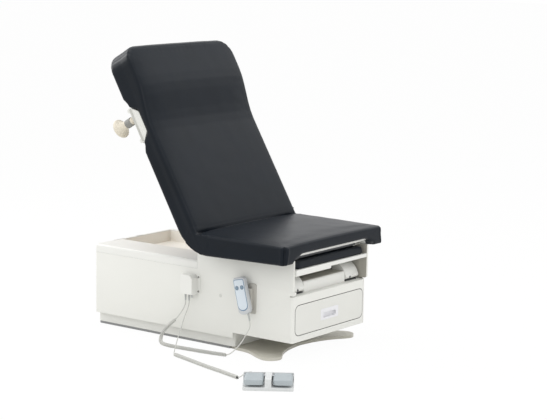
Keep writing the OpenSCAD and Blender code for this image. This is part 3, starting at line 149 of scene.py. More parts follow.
# Each lamp has a place, a width in metres and a power in watts
lamp_aim = Vector((0.2, 0, 0.5))
lamps = (("overhead_bank", (0.2, -0.3, 3.6), 3.0, 50.0),
    ("left_key", (-1.6, -4.4, 3.0), 3.0, 23.0),
    ("right_fill", (4.2, -1.0, 2.9), 2.6, 38.0),
    ("rear_fill", (-3.4, -0.6, 2.2), 2.4, 54.0),
    ("far_softbox", (1.8, 3.2, 3.4), 2.0, 12.0))
for name, place, size, power in lamps:
    light = bpy.data.lights.new(name, "AREA")
    light.energy, light.size = power, size
    lamp = placed(name, light)
    lamp.location = place
    lamp.rotation_mode = "QUATERNION"
    lamp.rotation_quaternion = (lamp_aim - Vector(place)).to_track_quat("-Z", "Y")

# The two curly cords
# Retractile leads of grey PVC over stranded copper, wound on a mandrel in tight curls and
# left straight at both ends. Each leaves a strain relief under the cable box; one ends in
# the handset, the other runs along the floor into the back of the foot switch.

# A smooth route through given points, with a number of steps from each to the next
def smooth_route(points, steps):
    p = np.array([points[0], *points, points[-1]], float)
    out = []
    for i in range(1, len(p) - 2):
        before, here, ahead, beyond = p[i - 1:i + 3]
        for t in np.arange(steps) / steps:
            out.append(0.5 * (2 * here + (ahead - before) * t
                + (2 * before - 5 * here + 4 * ahead - beyond) * t * t
                + (3 * here - 3 * ahead + beyond - before) * t ** 3))
    return np.array(out + [p[-2]])


# The route again, with its points an even distance apart
def even_route(points, count):
    far = np.concatenate([[0], np.cumsum(np.linalg.norm(np.diff(points, axis=0), axis=1))])
    at = np.linspace(0, far[-1], count + 1)
    return np.stack([np.interp(at, far, points[:, k]) for k in range(3)], axis=1)


# A wire wound in tight turns about a route. It leaves the route within the first turn and
# comes back to it within the last.
def curled_route(points, pitch, outer, wire, rings):
    line = smooth_route(points, steps=10)
    length = np.linalg.norm(np.diff(line, axis=0), axis=1).sum()
    turns = round(length / pitch)
    line = even_route(line, turns * rings)
    last = len(line) - 1
    ahead = np.gradient(line, axis=0)
    for _ in range(rings):
        ahead[1:-1] = (ahead[:-2] + ahead[1:-1] + ahead[2:]) / 3
    ahead /= np.linalg.norm(ahead, axis=1)[:, None]
    side = np.cross([0, 0, 1.0], ahead)
    side /= np.linalg.norm(side, axis=1)[:, None]
    above = np.cross(ahead, side)
    i = np.arange(last + 1)
    angle = 2 * math.pi * i / rings - math.pi / 2
    reach = (outer - wire) / 2 * np.clip(np.minimum(i, last - i) / rings, 0, 1)
    return line + reach[:, None] * (np.cos(angle)[:, None] * side + np.sin(angle)[:, None] * above)


# A round wire along a line of points
def cord_piece(name, line, wire, finish):
    curve = bpy.data.curves.new(name, "CURVE")
    curve.dimensions, curve.use_fill_caps = "3D", True
    curve.bevel_depth, curve.bevel_resolution = wire / 2, 3
    spline = curve.splines.new("POLY")
    spline.points.add(len(line) - 1)
    spline.points.foreach_set("co", np.column_stack([line, np.ones(len(line))]).ravel())
    guide = placed(name + "_guide", curve)
    bpy.context.view_layer.update()
    mesh = bpy.data.meshes.new_from_object(guide.evaluated_get(bpy.context.evaluated_depsgraph_get()))
    bpy.data.objects.remove(guide)
    mesh.name = name
    mesh.shade_smooth()
    mesh.materials.clear()
    mesh.materials.append(finish)
    return placed(name, mesh)


# Soft PVC has a satin skin that picks up a little dust
def soft_pvc(name, dark, light, dust_scale, dust_detail, roughness):
    material, tree = blank(name)
    place = put(tree, "ShaderNodeTexCoord")
    dust = put(tree, "ShaderNodeTexNoise",
        sockets={"Vector": place.outputs["Object"], "Scale": dust_scale, "Detail": dust_detail})
    shade = put(tree, "ShaderNodeMix", {"data_type": "RGBA"},
        {0: dust.outputs["Fac"], 6: srgb(dark), 7: srgb(light)})
    skin = put(tree, "ShaderNodeBsdfPrincipled",
        sockets={"Base Color": shade.outputs[2], "Roughness": roughness, "IOR": 1.5})
    put(tree, "ShaderNodeOutputMaterial", sockets={"Surface": skin.outputs[0]})
    return material


# Points nearer than this are one point
same_place = 0.00001


# A small turned part: its profile of (radius, height) pairs is spun round a line that starts
# at a place and runs in a direction
def turned(name, profile, place, direction, finish, sides=24):
    form = bmesh.new()
    points = [form.verts.new((r, 0, h)) for r, h in profile]
    edges = [form.edges.new(pair) for pair in zip(points, points[1:])]
    bmesh.ops.spin(form, geom=points + edges, cent=(0, 0, 0), axis=(0, 0, 1), angle=2 * math.pi,
        steps=sides, use_merge=True)
    bmesh.ops.remove_doubles(form, verts=form.verts, dist=same_place)
    bmesh.ops.recalc_face_normals(form, faces=form.faces)
    turn = Vector(direction).to_track_quat("Z", "Y").to_matrix().to_4x4()
    bmesh.ops.transform(form, matrix=Matrix.Translation(place) @ turn, verts=form.verts)
    mesh = bpy.data.meshes.new(name)
    form.to_mesh(mesh)
    form.free()
    mesh.shade_smooth()
    mesh.materials.append(finish)
    return placed(name, mesh)


# Both cords are of one make: the wire, the outside of a curl, a turn's advance and its rings
wire, curl_outer, curl_pitch, curl_rings = 0.0044, 0.016, 0.0058, 20
cord_pvc = soft_pvc("grey_pvc_cord", "#BDBDB8", "#CECECA", 90.0, 4.0, 0.48)
handset_lead = [(0.497, -0.289, 0.1495), (0.499, -0.289, 0.138), (0.5, -0.292, 0.12), (0.492, -0.306, 0.092),
    (0.482, -0.322, 0.062), (0.467, -0.336, 0.038), (0.45, -0.348, 0.018), (0.434, -0.358, 0.0086)]
handset_curl = [(0.434, -0.358, 0.0086), (0.37, -0.367, 0.0082), (0.307, -0.375, 0.0082),
    (0.25, -0.38, 0.0082), (0.195, -0.384, 0.0082), (0.14, -0.384, 0.0082), (0.098, -0.374, 0.01),
    (0.074, -0.352, 0.024), (0.074, -0.33, 0.052), (0.092, -0.312, 0.08), (0.11, -0.299, 0.101)]
handset_tail = [(0.11, -0.299, 0.101), (0.124, -0.289, 0.122), (0.137, -0.282, 0.146), (0.146, -0.28, 0.166),
    (0.148, -0.28, 0.174), (0.148, -0.28, 0.186)]
pedal_lead = [(0.167, -0.28, 0.186), (0.167, -0.28, 0.175), (0.165, -0.286, 0.152), (0.163, -0.302, 0.122),
    (0.168, -0.326, 0.09), (0.18, -0.356, 0.064), (0.2, -0.394, 0.042), (0.224, -0.434, 0.023),
    (0.246, -0.468, 0.011), (0.262, -0.486, 0.0082)]
pedal_curl = [(0.262, -0.486, 0.0082), (0.35, -0.512, 0.0082), (0.444, -0.541, 0.0082), (0.51, -0.56, 0.0082),
    (0.575, -0.576, 0.0082), (0.64, -0.595, 0.0082), (0.692, -0.61, 0.0082)]
pedal_tail = [(0.692, -0.61, 0.0082), (0.708, -0.612, 0.016), (0.724, -0.604, 0.03), (0.742, -0.592, 0.036),
    (0.755, -0.59, 0.03), (0.763, -0.601, 0.024), (0.767, -0.6068, 0.0225)]

# Black PVC fills the end of the pedal cord's curl, and a ribbed grey boot leads the cord into
# the switch. Both lie along the last stretch of their route.
dark_pvc = soft_pvc("black_pvc", "#111214", "#1B1C1F", 200.0, 2.0, 0.5)
plug_profile = [(0, -0.012), (0.0034, -0.012), (0.0046, -0.009), (0.0046, 0.0012), (0.004, 0.002), (0, 0.002)]
curl_end_way = Vector(pedal_curl[-1]) - Vector(pedal_curl[-2])
curl_plug = turned("pedal_curl_plug", plug_profile, pedal_curl[-1], curl_end_way, dark_pvc)
boot_bore, boot_tip, boot_flange, boot_length, flange_half = 0.0023, 0.003, 0.0062, 0.024, 0.001
rib_count, rib_pitch, first_rib, rib_growth, rib_height = 5, 0.004, 0.0032, 0.0005, 0.0003
boot_profile = [(boot_bore, -boot_length), (boot_tip, -boot_length)]
for i in range(rib_count):
    low, wide = rib_pitch * (i + 0.5) - boot_length, first_rib + rib_growth * i
    boot_profile += [(wide, low), (wide + rib_height, low + rib_pitch / 2),
        (wide - rib_height, low + 0.75 * rib_pitch)]
boot_profile += [(boot_flange, -flange_half), (boot_flange, flange_half), (boot_bore, flange_half)]
boot_way = Vector(pedal_tail[-1]) - Vector(pedal_tail[-2])
switch_boot = turned("switch_cord_boot", boot_profile, pedal_tail[-1], boot_way, cord_pvc)
for piece in (curl_plug, switch_boot):
    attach(piece, "base")

# The cords stay where they are laid; hang_high and lie_high are not used
hang_high, lie_high, lead_steps = 0.16, 0.04, 6
for name, lead, curl, tail, exit_end, small_pieces in (
        ("handset_curly_cord", handset_lead, handset_curl, handset_tail, -1, []),
        ("pedal_curly_cord", pedal_lead, pedal_curl, pedal_tail, 0, [curl_plug, switch_boot])):
    coils = curled_route(curl, curl_pitch, curl_outer, wire, curl_rings)
    line = np.concatenate([smooth_route(lead, lead_steps), coils[1:], smooth_route(tail, lead_steps)[1:]])
    cord = cord_piece(name, line, wire, cord_pvc)
    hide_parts("handset_cord" if exit_end else "pedal_cord")
    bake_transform(cord)

# The upholstery
# One seamless skin of satin black vinyl, drawn over moulded foam that covers the seat, the
# crease and the raised back with its pillow. Its skirts wrap the boards on both sides.
upholstery_vinyl, tree = blank("black_upholstery_vinyl")
place = put(tree, "ShaderNodeTexCoord")
# Real grain is about 1 mm; it is drawn at 2.5 mm so that it shows from across the room
grain = put(tree, "ShaderNodeTexVoronoi", {"feature": "DISTANCE_TO_EDGE"},
    {"Vector": place.outputs["Object"], "Scale": 400.0})
soft_grain = put(tree, "ShaderNodeMapRange", sockets={"Value": grain.outputs["Distance"], "From Max": 0.12})
pull = put(tree, "ShaderNodeTexNoise",
    sockets={"Vector": place.outputs["Object"], "Scale": 7.0, "Detail": 3.0})
shade = put(tree, "ShaderNodeMix", {"data_type": "RGBA"},
    {0: pull.outputs["Fac"], 6: srgb("#0D1319"), 7: srgb("#121922")})
sheen = put(tree, "ShaderNodeMapRange", sockets={"Value": pull.outputs["Fac"], "To Min": 0.3, "To Max": 0.37})
relief = put(tree, "ShaderNodeBump",
    sockets={"Strength": 0.12, "Distance": 0.0004, "Height": soft_grain.outputs[0]})
skin = put(tree, "ShaderNodeBsdfPrincipled", sockets={"Base Color": shade.outputs[2],
    "Roughness": sheen.outputs[0], "IOR": 1.26, "Normal": relief.outputs[0]})
put(tree, "ShaderNodeOutputMaterial", sockets={"Surface": skin.outputs[0]})


# Puts a piece's modifiers into its mesh
def settle(piece):
    bpy.context.view_layer.update()
    mesh = bpy.data.meshes.new_from_object(piece.evaluated_get(bpy.context.evaluated_depsgraph_get()))
    piece.modifiers.clear()
    piece.data = mesh
    mesh.name = piece.name
    return mesh


# Foam nodes fused into one body with an even mesh, its edges eased by rounds of smoothing
def foam_form(name, sources, voxel, rounds):
    form = bmesh.new()
    for source in sources:
        form.from_mesh(nodes[source].data)
    bmesh.ops.remove_doubles(form, verts=form.verts, dist=same_place)
    mesh = bpy.data.meshes.new(name)
    form.to_mesh(mesh)
    form.free()
    piece = placed(name, mesh)
    fused = piece.modifiers.new("fused", "REMESH")
    fused.mode, fused.voxel_size, fused.adaptivity = "VOXEL", voxel, 0.0
    eased = piece.modifiers.new("eased", "SMOOTH")
    eased.factor, eased.iterations = 0.5, rounds
    mesh = settle(piece)
    mesh.shade_smooth()
    mesh.materials.clear()
    mesh.materials.append(upholstery_vinyl)
    return piece


# The vertices' places ("co") or normals ("normal"), one row each
def read_vertices(mesh, what):
    flat = np.empty(len(mesh.vertices) * 3)
    mesh.vertices.foreach_get(what, flat)
    return flat.reshape(-1, 3)


def move_vertices(mesh, points):
    mesh.vertices.foreach_set("co", points.ravel())
    mesh.update()


# 0 up to the start, rising evenly to 1 over the width after it
def ramp(past_start, width):
    return np.clip(past_start / width, 0, 1)


# 1 in the middle of a fold or stitch line, and falling off to both sides
def bell(gap, width):
    return np.exp(-(gap / width) ** 2)


# The swell of the cover over its foam: a coarse copy is blown up as cloth, and the way that
# each of its points went, up to the cap, is handed to the nearest points of the fine form
def swell(name, sources, voxel, cap, points):
    last_frame, pressure, neighbours, softening = 20, 4.0, 4, 0.002
    balloon = foam_form(name, sources, voxel, 2)
    cloth = balloon.modifiers.new("cloth", "CLOTH")
    cloth.settings.use_pressure, cloth.settings.uniform_pressure_force = True, pressure
    cloth.settings.effector_weights.gravity = 0.0
    cloth.point_cache.frame_start, cloth.point_cache.frame_end = 1, last_frame
    for frame_number in range(1, last_frame + 1):
        scene.frame_set(frame_number)
    blown = balloon.evaluated_get(bpy.context.evaluated_depsgraph_get()).to_mesh()
    before, after = read_vertices(balloon.data, "co"), read_vertices(blown, "co")
    way = after - before
    reach = np.linalg.norm(way, axis=1)[:, None]
    way *= np.minimum(1, cap / np.maximum(reach, 1e-9))
    tree = kdtree.KDTree(len(before))
    for i, point in enumerate(before):
        tree.insert(point, i)
    tree.balance()
    handed = np.empty_like(points)
    for i, point in enumerate(points):
        near = tree.find_n(point, neighbours)
        weight = np.array([1 / (gap + softening) for _, _, gap in near])
        handed[i] = (weight[:, None] * way[[j for _, j, _ in near]]).sum(axis=0) / weight.sum()
    scene.frame_set(1)
    bpy.data.objects.remove(balloon)
    return handed


fine_voxel, quick_voxel, fine_rounds, quick_rounds, balloon_voxel = 0.005, 0.012, 4, 2, 0.012
hinge, lean = Vector((0.23342, 0, 0.448)), math.radians(59.5)
half_width, seat_front, seat_top, foam, back_len = 0.35, 0.718, 0.498, 0.05, 0.848
crease_x = 0.262
cushion_names = ("seat_cushion", "back_cushion", "hinge_gusset")
upholstery = foam_form("upholstery", cushion_names, fine_voxel,
    fine_rounds)
hide = upholstery.data
p, out = read_vertices(hide, "co"), read_vertices(hide, "normal")

# Where each vertex is: its way up the back from the crease, its depth below the face that is
# lain on, and how squarely it faces the way that this face does
back_start, cos_lean, sin_lean = 0.02, math.cos(lean), math.sin(lean)
along = -(p[:, 0] - hinge.x) * cos_lean + (p[:, 2] - hinge.z) * sin_lean - (crease_x - hinge.x)
above = (p[:, 0] - hinge.x) * sin_lean + (p[:, 2] - hinge.z) * cos_lean - foam
on_back = along > back_start
depth = np.where(on_back, -above, seat_top - p[:, 2])
facing = np.where(on_back, out[:, 0] * sin_lean + out[:, 2] * cos_lean, out[:, 2])
swell_cap, swell_depth, swell_fade, settled_share = 0.005, 0.03, 0.02, 0.7
least_facing, facing_fade = 0.3, 0.6
soft = (ramp(facing - least_facing, facing_fade) * ramp(swell_depth - depth, swell_fade))[:, None]
blown = swell("balloon", cushion_names, balloon_voxel, swell_cap, p)
p = p + soft * (blown - settled_share * swell_cap * out)

# The sides run on unbroken past the crease
crease_low, crease_reach, side_y, edge_depth, side_inset = 0.46, 0.06, 0.33, 0.009, 0.001
at_crease = np.hypot(p[:, 0] - crease_x, p[:, 2] - crease_low) < crease_reach
beside = at_crease & (np.abs(p[:, 1]) > side_y) & (depth > edge_depth)
p[beside, 1] = np.sign(p[beside, 1]) * np.maximum(np.abs(p[beside, 1]), half_width - side_inset)

# A stitched edge stands a little proud all round, where the cover turns from face to side
stitch_proud, stitch_facing, stitch_width, stitch_depth = 0.0016, 0.72, 0.16, 0.04
p += (stitch_proud * bell(facing - stitch_facing, stitch_width) * (depth < stitch_depth))[:, None] * out

# The crease is a sharp valley, sunk halfway between the two faces' normals. It dies out at
# the sides.
valley_depth, valley_width, valley_end, valley_fade = 0.015, 0.006, 0.335, 0.01
into_crease = np.array([0.496, 0, 0.868])
valley = np.hypot(p[:, 0] - crease_x, p[:, 2] - seat_top) / valley_width
valley += np.clip((np.abs(p[:, 1]) - valley_end) / valley_fade, 0, 9)
p -= valley_depth * np.exp(-valley ** 2)[:, None] * into_crease

# The cover is gathered in one upright fold at each front corner of the seat, with a soft
# shoulder on both sides of it
corner, fold_top, fold_fade, inner_share, outer_share = 0.024, 0.495, 0.012, 0.6, 1.6
fold_depth, fold_width, shoulder, shoulder_gap, shoulder_width = 0.0095, 0.0072, 0.0025, 0.015, 0.006
for side in (-1, 1):
    middle = np.array([seat_front - corner, side * (half_width - corner)])
    away = p[:, :2] - middle
    turn = np.arctan2(side * away[:, 1], away[:, 0]) - math.pi / 4
    reach = np.linalg.norm(away, axis=1)
    at_corner = (reach > inner_share * corner) & (reach < outer_share * corner) & ~on_back
    fade = ramp(fold_top - p[:, 2], fold_fade) * at_corner
    gap = turn * corner
    rise = shoulder * bell(np.abs(gap) - shoulder_gap, shoulder_width)
    fold = fade * (rise - fold_depth * bell(gap, fold_width))
    p[:, :2] += fold[:, None] * away / np.maximum(reach, 1e-6)[:, None]

# The front skirts narrow towards their lower corners
skirt_in, skirt_slack, narrow_by = 0.262, 0.006, 0.03
narrow_top, narrow_height, narrow_start, narrow_run = 0.462, 0.045, 0.66, 0.03
narrow = ramp(narrow_top - p[:, 2], narrow_height) * ramp(p[:, 0] - narrow_start, narrow_run)
narrow *= np.clip(1 - (np.abs(p[:, 1]) - skirt_in) / (half_width - skirt_in), 0, 1)
narrow *= np.abs(p[:, 1]) > skirt_in - skirt_slack
p[:, 1] += narrow_by * narrow * np.sign(p[:, 1])

# Two short pleats take up the skin round each corner of the head end
corner, pleat_depth, pleat_width = 0.08, 0.0016, 0.005
pleat_low, pleat_fade, pleat_side, rim_share, rim_fade_share = 0.085, 0.02, 0.02, 0.8, 0.15
pleat_degrees = (35, 55)
for side in (-1, 1):
    away = np.column_stack([along - (back_len - corner), side * p[:, 1] - (half_width - corner)])
    turn = np.arctan2(away[:, 1], away[:, 0])
    reach = np.linalg.norm(away, axis=1)
    rim = ramp(reach / corner - rim_share, rim_fade_share) * ramp(pleat_low - depth, pleat_fade)
    rim = rim * (away.min(axis=1) > -pleat_side)
    for degrees in pleat_degrees:
        gap = (turn - math.radians(degrees)) * corner
        p -= (pleat_depth * rim * bell(gap, pleat_width))[:, None] * out

# Hand-stretched vinyl is never dead flat
wave_height, waves_per_metre, wave_low, wave_fade = 0.0005, 14.0, 0.06, 0.03
waves = np.array([noise.noise(Vector(point) * waves_per_metre) for point in p])
p += (wave_height * waves * ramp(wave_low - depth, wave_fade))[:, None] * out
move_vertices(hide, p)
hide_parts(*cushion_names)
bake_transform(upholstery)

# The pad of the leg rest
# A thin moulded foam pad in the same vinyl, with a rolled front edge, glued on its pan.
fine_voxel, quick_voxel, rounds, balloon_voxel = 0.004, 0.008, 6, 0.008
leg_rest_pad = foam_form("leg_rest_pad", ("leg_pad",), fine_voxel, rounds)
p, out = read_vertices(leg_rest_pad.data, "co"), read_vertices(leg_rest_pad.data, "normal")
pad_low, pad_high = (corner[2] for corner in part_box("leg_pad"))
swell_start_share, swell_run_share = 0.3, 0.5
height_share = (p[:, 2] - pad_low) / (pad_high - pad_low)
upper_half = ramp(height_share - swell_start_share, swell_run_share)[:, None]
swell_cap, settled_share = 0.003, 0.9
blown = swell("pad_balloon", ("leg_pad",), balloon_voxel, swell_cap, p)
p = p + upper_half * (blown - settled_share * swell_cap * out)
# The pad bulges over both sides of its pan
pad_widening = 1.022
p[:, 1] *= pad_widening
move_vertices(leg_rest_pad.data, p)
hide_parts("leg_pad")
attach(leg_rest_pad, "leg_rest")


# Rounds the edges that turn by more than an angle in degrees
def round_over(piece, width, segments, least_angle):
    bevel = piece.modifiers.new("edge", "BEVEL")
    bevel.width, bevel.segments, bevel.limit_method = width, segments, "ANGLE"
    bevel.angle_limit = math.radians(least_angle)


# Gives CAD nodes a finish, and their edges a small round
def dress(finish, *names, edge=0.0):
    for name in names:
        piece = nodes[name]
        for s in piece.material_slots:
            s.material = finish
        if edge:
            weld = piece.modifiers.new("weld", "WELD")
            weld.merge_threshold = same_place
            round_over(piece, edge, 2, 40)


# A node's solid with something cut off it, or only what lies inside the cutter kept, and its
# edges rounded over. It may first be widened from a plane that stays, by a share.
def trimmed(name, node, cutter, finish, edge, keep_inside=False, widen=None):
    form = bmesh.new()
    form.from_mesh(nodes[node].data)
    bmesh.ops.remove_doubles(form, verts=form.verts, dist=same_place)
    bmesh.ops.dissolve_limit(form, angle_limit=math.radians(0.5), verts=form.verts, edges=form.edges)
    if widen:
        still, share = widen
        for v in form.verts:
            v.co.y = still + (v.co.y - still) * share
    mesh = bpy.data.meshes.new(name)
    form.to_mesh(mesh)
    form.free()
    piece = placed(name, mesh)
    if cutter:
        cut = piece.modifiers.new("cut", "BOOLEAN")
        cut.operation, cut.solver = "INTERSECT" if keep_inside else "DIFFERENCE", "EXACT"
        cut.object = cutter
    round_over(piece, edge, 3, 35)
    mesh = settle(piece)
    mesh.materials.clear()
    mesh.materials.append(finish)
    mesh.shade_smooth()
    mesh.set_sharp_from_angle(angle=math.radians(30))
    if cutter:
        bpy.data.objects.remove(cutter)
    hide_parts(node)
    return piece


# The outline of a rectangle
def rectangle(x0, x1, y0, y1):
    return [(x0, y0), (x1, y0), (x1, y1), (x0, y1)]


# An upright prism over an outline of (x, y) points
def prism(name, outline, low, high):
    form = bmesh.new()
    rim = [form.verts.new((x, y, low)) for x, y in outline]
    base = form.faces.new(rim)
    raised = bmesh.ops.extrude_face_region(form, geom=[base])
    top = [part for part in raised["geom"] if isinstance(part, bmesh.types.BMVert)]
    bmesh.ops.translate(form, vec=(0, 0, high - low), verts=top)
    bmesh.ops.recalc_face_normals(form, faces=form.faces)
    mesh = bpy.data.meshes.new(name)
    form.to_mesh(mesh)
    form.free()
    return placed(name, mesh)


# A bar that runs across the table over an outline of (x, z) points, put in its place after that
def bar(name, outline, y0, y1, finish=None, edge=0.0, place=None):
    piece = prism(name, outline, y0, y1)
    for v in piece.data.vertices:
        x, z, y = v.co
        v.co = (x, y, z)
    piece.data.flip_normals()
    if place:
        piece.data.transform(place)
    if finish:
        piece.data.materials.append(finish)
    if edge:
        round_over(piece, edge, 3, 35)
        mesh = settle(piece)
        mesh.shade_smooth()
        mesh.set_sharp_from_angle(angle=math.radians(30))
    return piece


# A rectangle with one radius at its lower corners and another at its upper ones
def rounded(x0, x1, z0, z1, low_r, high_r):
    outline = []
    for k, (x, z, r) in enumerate(((x1, z1, high_r), (x0, z1, high_r), (x0, z0, low_r), (x1, z0, low_r))):
        mx, mz = (1, -1, -1, 1)[k], (1, 1, -1, -1)[k]
        for a in range(0, 91, 15):
            t = math.radians(90 * k + a)
            outline.append((x - mx * r + r * math.cos(t), z - mz * r + r * math.sin(t)))
    return outline


# The housing
# Sheet steel side panels, rear panel and drawer cabinet, folded and spot-welded, then
# powder-coated a warm white that has a faint orange peel.

# A colour that drifts a little lighter and darker over a large part
def drifting_tint(tree, place, code, scale, spread):
    drift = put(tree, "ShaderNodeTexNoise",
        sockets={"Vector": place.outputs["Object"], "Scale": scale, "Detail": 2.0})
    value = put(tree, "ShaderNodeMapRange",
        sockets={"Value": drift.outputs["Fac"], "To Min": 1 - spread, "To Max": 1 + spread})
    tint = put(tree, "ShaderNodeHueSaturation", sockets={"Color": srgb(code), "Value": value.outputs[0]})
    return tint.outputs[0]


# Powder coat: a satin paint with a fine orange peel
def powder_coat(name, code, roughness=0.42):
    material, tree = blank(name)
    place = put(tree, "ShaderNodeTexCoord")
    peel = put(tree, "ShaderNodeTexNoise",
        sockets={"Vector": place.outputs["Object"], "Scale": 350.0, "Detail": 1.0})
    relief = put(tree, "ShaderNodeBump",
        sockets={"Strength": 0.1, "Distance": 0.0002, "Height": peel.outputs["Fac"]})
    tint = drifting_tint(tree, place, code, 3.0, 0.03)
    coat = put(tree, "ShaderNodeBsdfPrincipled",
        sockets={"Base Color": tint, "Roughness": roughness, "IOR": 1.5, "Normal": relief.outputs[0]})
    put(tree, "ShaderNodeOutputMaterial", sockets={"Surface": coat.outputs[0]})
    return material


# Gives the faces of a dressed node that answer to a test a finish of their own
def lined(name, finish, chosen):
    mesh = nodes[name].data
    mesh.materials.append(finish)
    for face in mesh.polygons:
        if chosen(face):
            face.material_index = len(mesh.materials) - 1


white_paint = powder_coat("warm_white_powder_coat", "#E4E4DF")
# A grey that stands for the dim light inside the housing and under the pan: painted shade
painted_shade_grey = powder_coat("painted_shade_grey", "#A9A69D", 0.6)
# Black painted shadow for dark gaps and recesses
painted_gap_shade = powder_coat("black_painted_gap_shade", "#2A2B2C", 0.6)
dress(white_paint, "side_panel_far", "rear_panel", "front_box", "front_panel", edge=0.0006)
# The far cheek's inner face is painted grey as painted shade, and the drawer opening's side walls are painted
# black as painted shadow in the gap
cheek_rear, opening_half = 0.4, 0.24
lined("side_panel_far", painted_shade_grey, lambda face: face.normal.y < -0.9 and face.center.x > cheek_rear)
lined("front_panel", painted_gap_shade, lambda face: abs(face.normal.x) < 0.3 and abs(face.center.y) < opening_half)

# The near side panel
# Folded from the same sheet, with its cheek cut back a little behind the far one's.
cheek_front, cut_front, cut_outer, cut_inner, cut_low, cut_high = 0.695, 0.72, -0.27, -0.24, 0.29, 0.43
cheek_cutter = prism("cheek_cutter", rectangle(cheek_front, cut_front, cut_outer, cut_inner), cut_low,
    cut_high)
near_panel = trimmed("near_side_panel", "side_panel_near", cheek_cutter, white_paint, edge=0.0006)
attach(near_panel, "upper")

# The plinth
# The fixed shroud and the middle shroud telescope round the lift. They are bent from the
# same white steel; a rubber strip seals the lower one to the floor.
dress(white_paint, "plinth_cover", "mid_shroud")
gasket_rubber = powder_coat("grey_seal_rubber", "#8F9090", 0.7)
dress(gasket_rubber, "plinth_gasket")
foot_paint = powder_coat("grey_foot_enamel", "#C4C1B6", 0.45)
dress(foot_paint, "floor_plate", edge=0.004)

# The rim and the storage well
# The rim round the well is injection-moulded ABS with a fine spark-eroded grain; the well
# is a beige vacuum-formed tray.

# A moulded plastic or rubber, with the fine grain of its mould
def moulded(name, code, roughness=0.45):
    grain_size = 0.0006
    material, tree = blank(name)
    place = put(tree, "ShaderNodeTexCoord")
    spark = put(tree, "ShaderNodeTexNoise",
        sockets={"Vector": place.outputs["Object"], "Scale": 1 / grain_size, "Detail": 2.0})
    relief = put(tree, "ShaderNodeBump",
        sockets={"Strength": 0.15, "Distance": 0.0001, "Height": spark.outputs["Fac"]})
    tint = drifting_tint(tree, place, code, 5.0, 0.025)
    plastic = put(tree, "ShaderNodeBsdfPrincipled",
        sockets={"Base Color": tint, "Roughness": roughness, "IOR": 1.53, "Normal": relief.outputs[0]})
    put(tree, "ShaderNodeOutputMaterial", sockets={"Surface": plastic.outputs[0]})
    return material


white_abs = moulded("white_abs", "#E6E6E2")
beige_abs = moulded("beige_abs", "#DDD5C4", 0.5)
cream_abs = moulded("cream_abs", "#F6F3EC", 0.5)
dress(white_abs, "top_cover", edge=0.0006)
dress(cream_abs, "well_liner", edge=0.001)

# Lift, chassis and frames
# Steel column tubes, a welded chassis and the tubular frames under the boards, in grey and
# black machine paint, with what slides or turns left in bright drawn steel.
frame_paint = powder_coat("grey_frame_paint", "#8E9296", 0.5)
dress(frame_paint, "base_frame", "column_outer", "column_middle", "chassis_frame", "back_frame",
    "drawer_runners", "leg_rails", "stirrup_sleeves")
dark_enamel_and_shade = powder_coat("black_enamel_and_painted_shade", "#3F4246", 0.4)
# The motor and spring tube are black enamel; the seat frame is black as painted shade under the seat's front
# lip
dress(dark_enamel_and_shade, "lift_motor", "spring_tube", "seat_frame")
box_abs = moulded("dark_abs", "#4A4D50", 0.55)
dress(box_abs, "control_box", edge=0.001)

# Steel drawn along X, so its fine lines run that way
drawn_steel, tree = blank("drawn_bright_steel")
place = put(tree, "ShaderNodeTexCoord")
stretch = put(tree, "ShaderNodeMapping",
    sockets={"Vector": place.outputs["Object"], "Scale": (4.0, 300.0, 300.0)})
draw = put(tree, "ShaderNodeTexNoise", sockets={"Vector": stretch.outputs[0], "Scale": 4.0, "Detail": 3.0})
rough = put(tree, "ShaderNodeMapRange",
    sockets={"Value": draw.outputs["Fac"], "To Min": 0.22, "To Max": 0.34})
steel = put(tree, "ShaderNodeBsdfPrincipled",
    sockets={"Base Color": srgb("#C9CBCD"), "Metallic": 1.0, "Roughness": rough.outputs[0]})
put(tree, "ShaderNodeOutputMaterial", sockets={"Surface": steel.outputs[0]})
dress(drawn_steel, "column_inner", "hinge_pins", "spring_rod", "switch_pin", "stirrup_arm_near",
    "stirrup_arm_far")

# The back board
# Plain birch plywood, screwed to the back frame. The foam hides its front and its edges.
plywood, tree = blank("birch_plywood")
place = put(tree, "ShaderNodeTexCoord")
stretch = put(tree, "ShaderNodeMapping",
    sockets={"Vector": place.outputs["Object"], "Scale": (2.0, 60.0, 2.0)})
figure = put(tree, "ShaderNodeTexNoise", sockets={"Vector": stretch.outputs[0], "Scale": 3.0, "Detail": 5.0})
shade = put(tree, "ShaderNodeMix", {"data_type": "RGBA"},
    {0: figure.outputs["Fac"], 6: srgb("#C6A67A"), 7: srgb("#A98658")})
wood = put(tree, "ShaderNodeBsdfPrincipled", sockets={"Base Color": shade.outputs[2], "Roughness": 0.6})
put(tree, "ShaderNodeOutputMaterial", sockets={"Surface": wood.outputs[0]})
dress(plywood, "back_board")

# The paper-roll holder
# Two moulded brackets on a bar through the skirts. Their rims and the raised lip along each bracket's free
# edge are painted darker than their faces, as painted shade.
bracket_abs = moulded("bracket_abs", "#DFDFDA", 0.4)
bracket_shade = moulded("bracket_painted_shade", "#BDBDB7", 0.5)
dress(bracket_abs, "roll_bracket_near", "roll_bracket_far", edge=0.0025)
for name in ("roll_bracket_near", "roll_bracket_far"):
    lined(name, bracket_shade, lambda face: abs(face.normal.y) < 0.5 and face.normal.x < 0.2)
raise_back = Matrix.Translation(hinge) @ Matrix.Rotation(lean, 4, "Y") @ Matrix.Translation(-hinge)
both_sides = (("near", -1), ("far", 1))
bracket_mid, bracket_face, lip_half, lip_low, lip_high = -0.3222, 0.342, 0.0745, 0.4135, 0.4245
lip_sunk, lip_proud, low_r, high_r = 0.002, 0.0012, 0.005, 0.004
for tag, side in both_sides:
    y0, y1 = sorted((side * (bracket_face - lip_sunk), side * (bracket_face + lip_proud)))
    lip_outline = rounded(bracket_mid - lip_half, bracket_mid + lip_half, lip_low, lip_high, low_r, high_r)
    lip = bar(f"bracket_lip_{tag}", lip_outline, y0, y1, bracket_shade, edge=0.001, place=raise_back)
    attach(lip, "back")

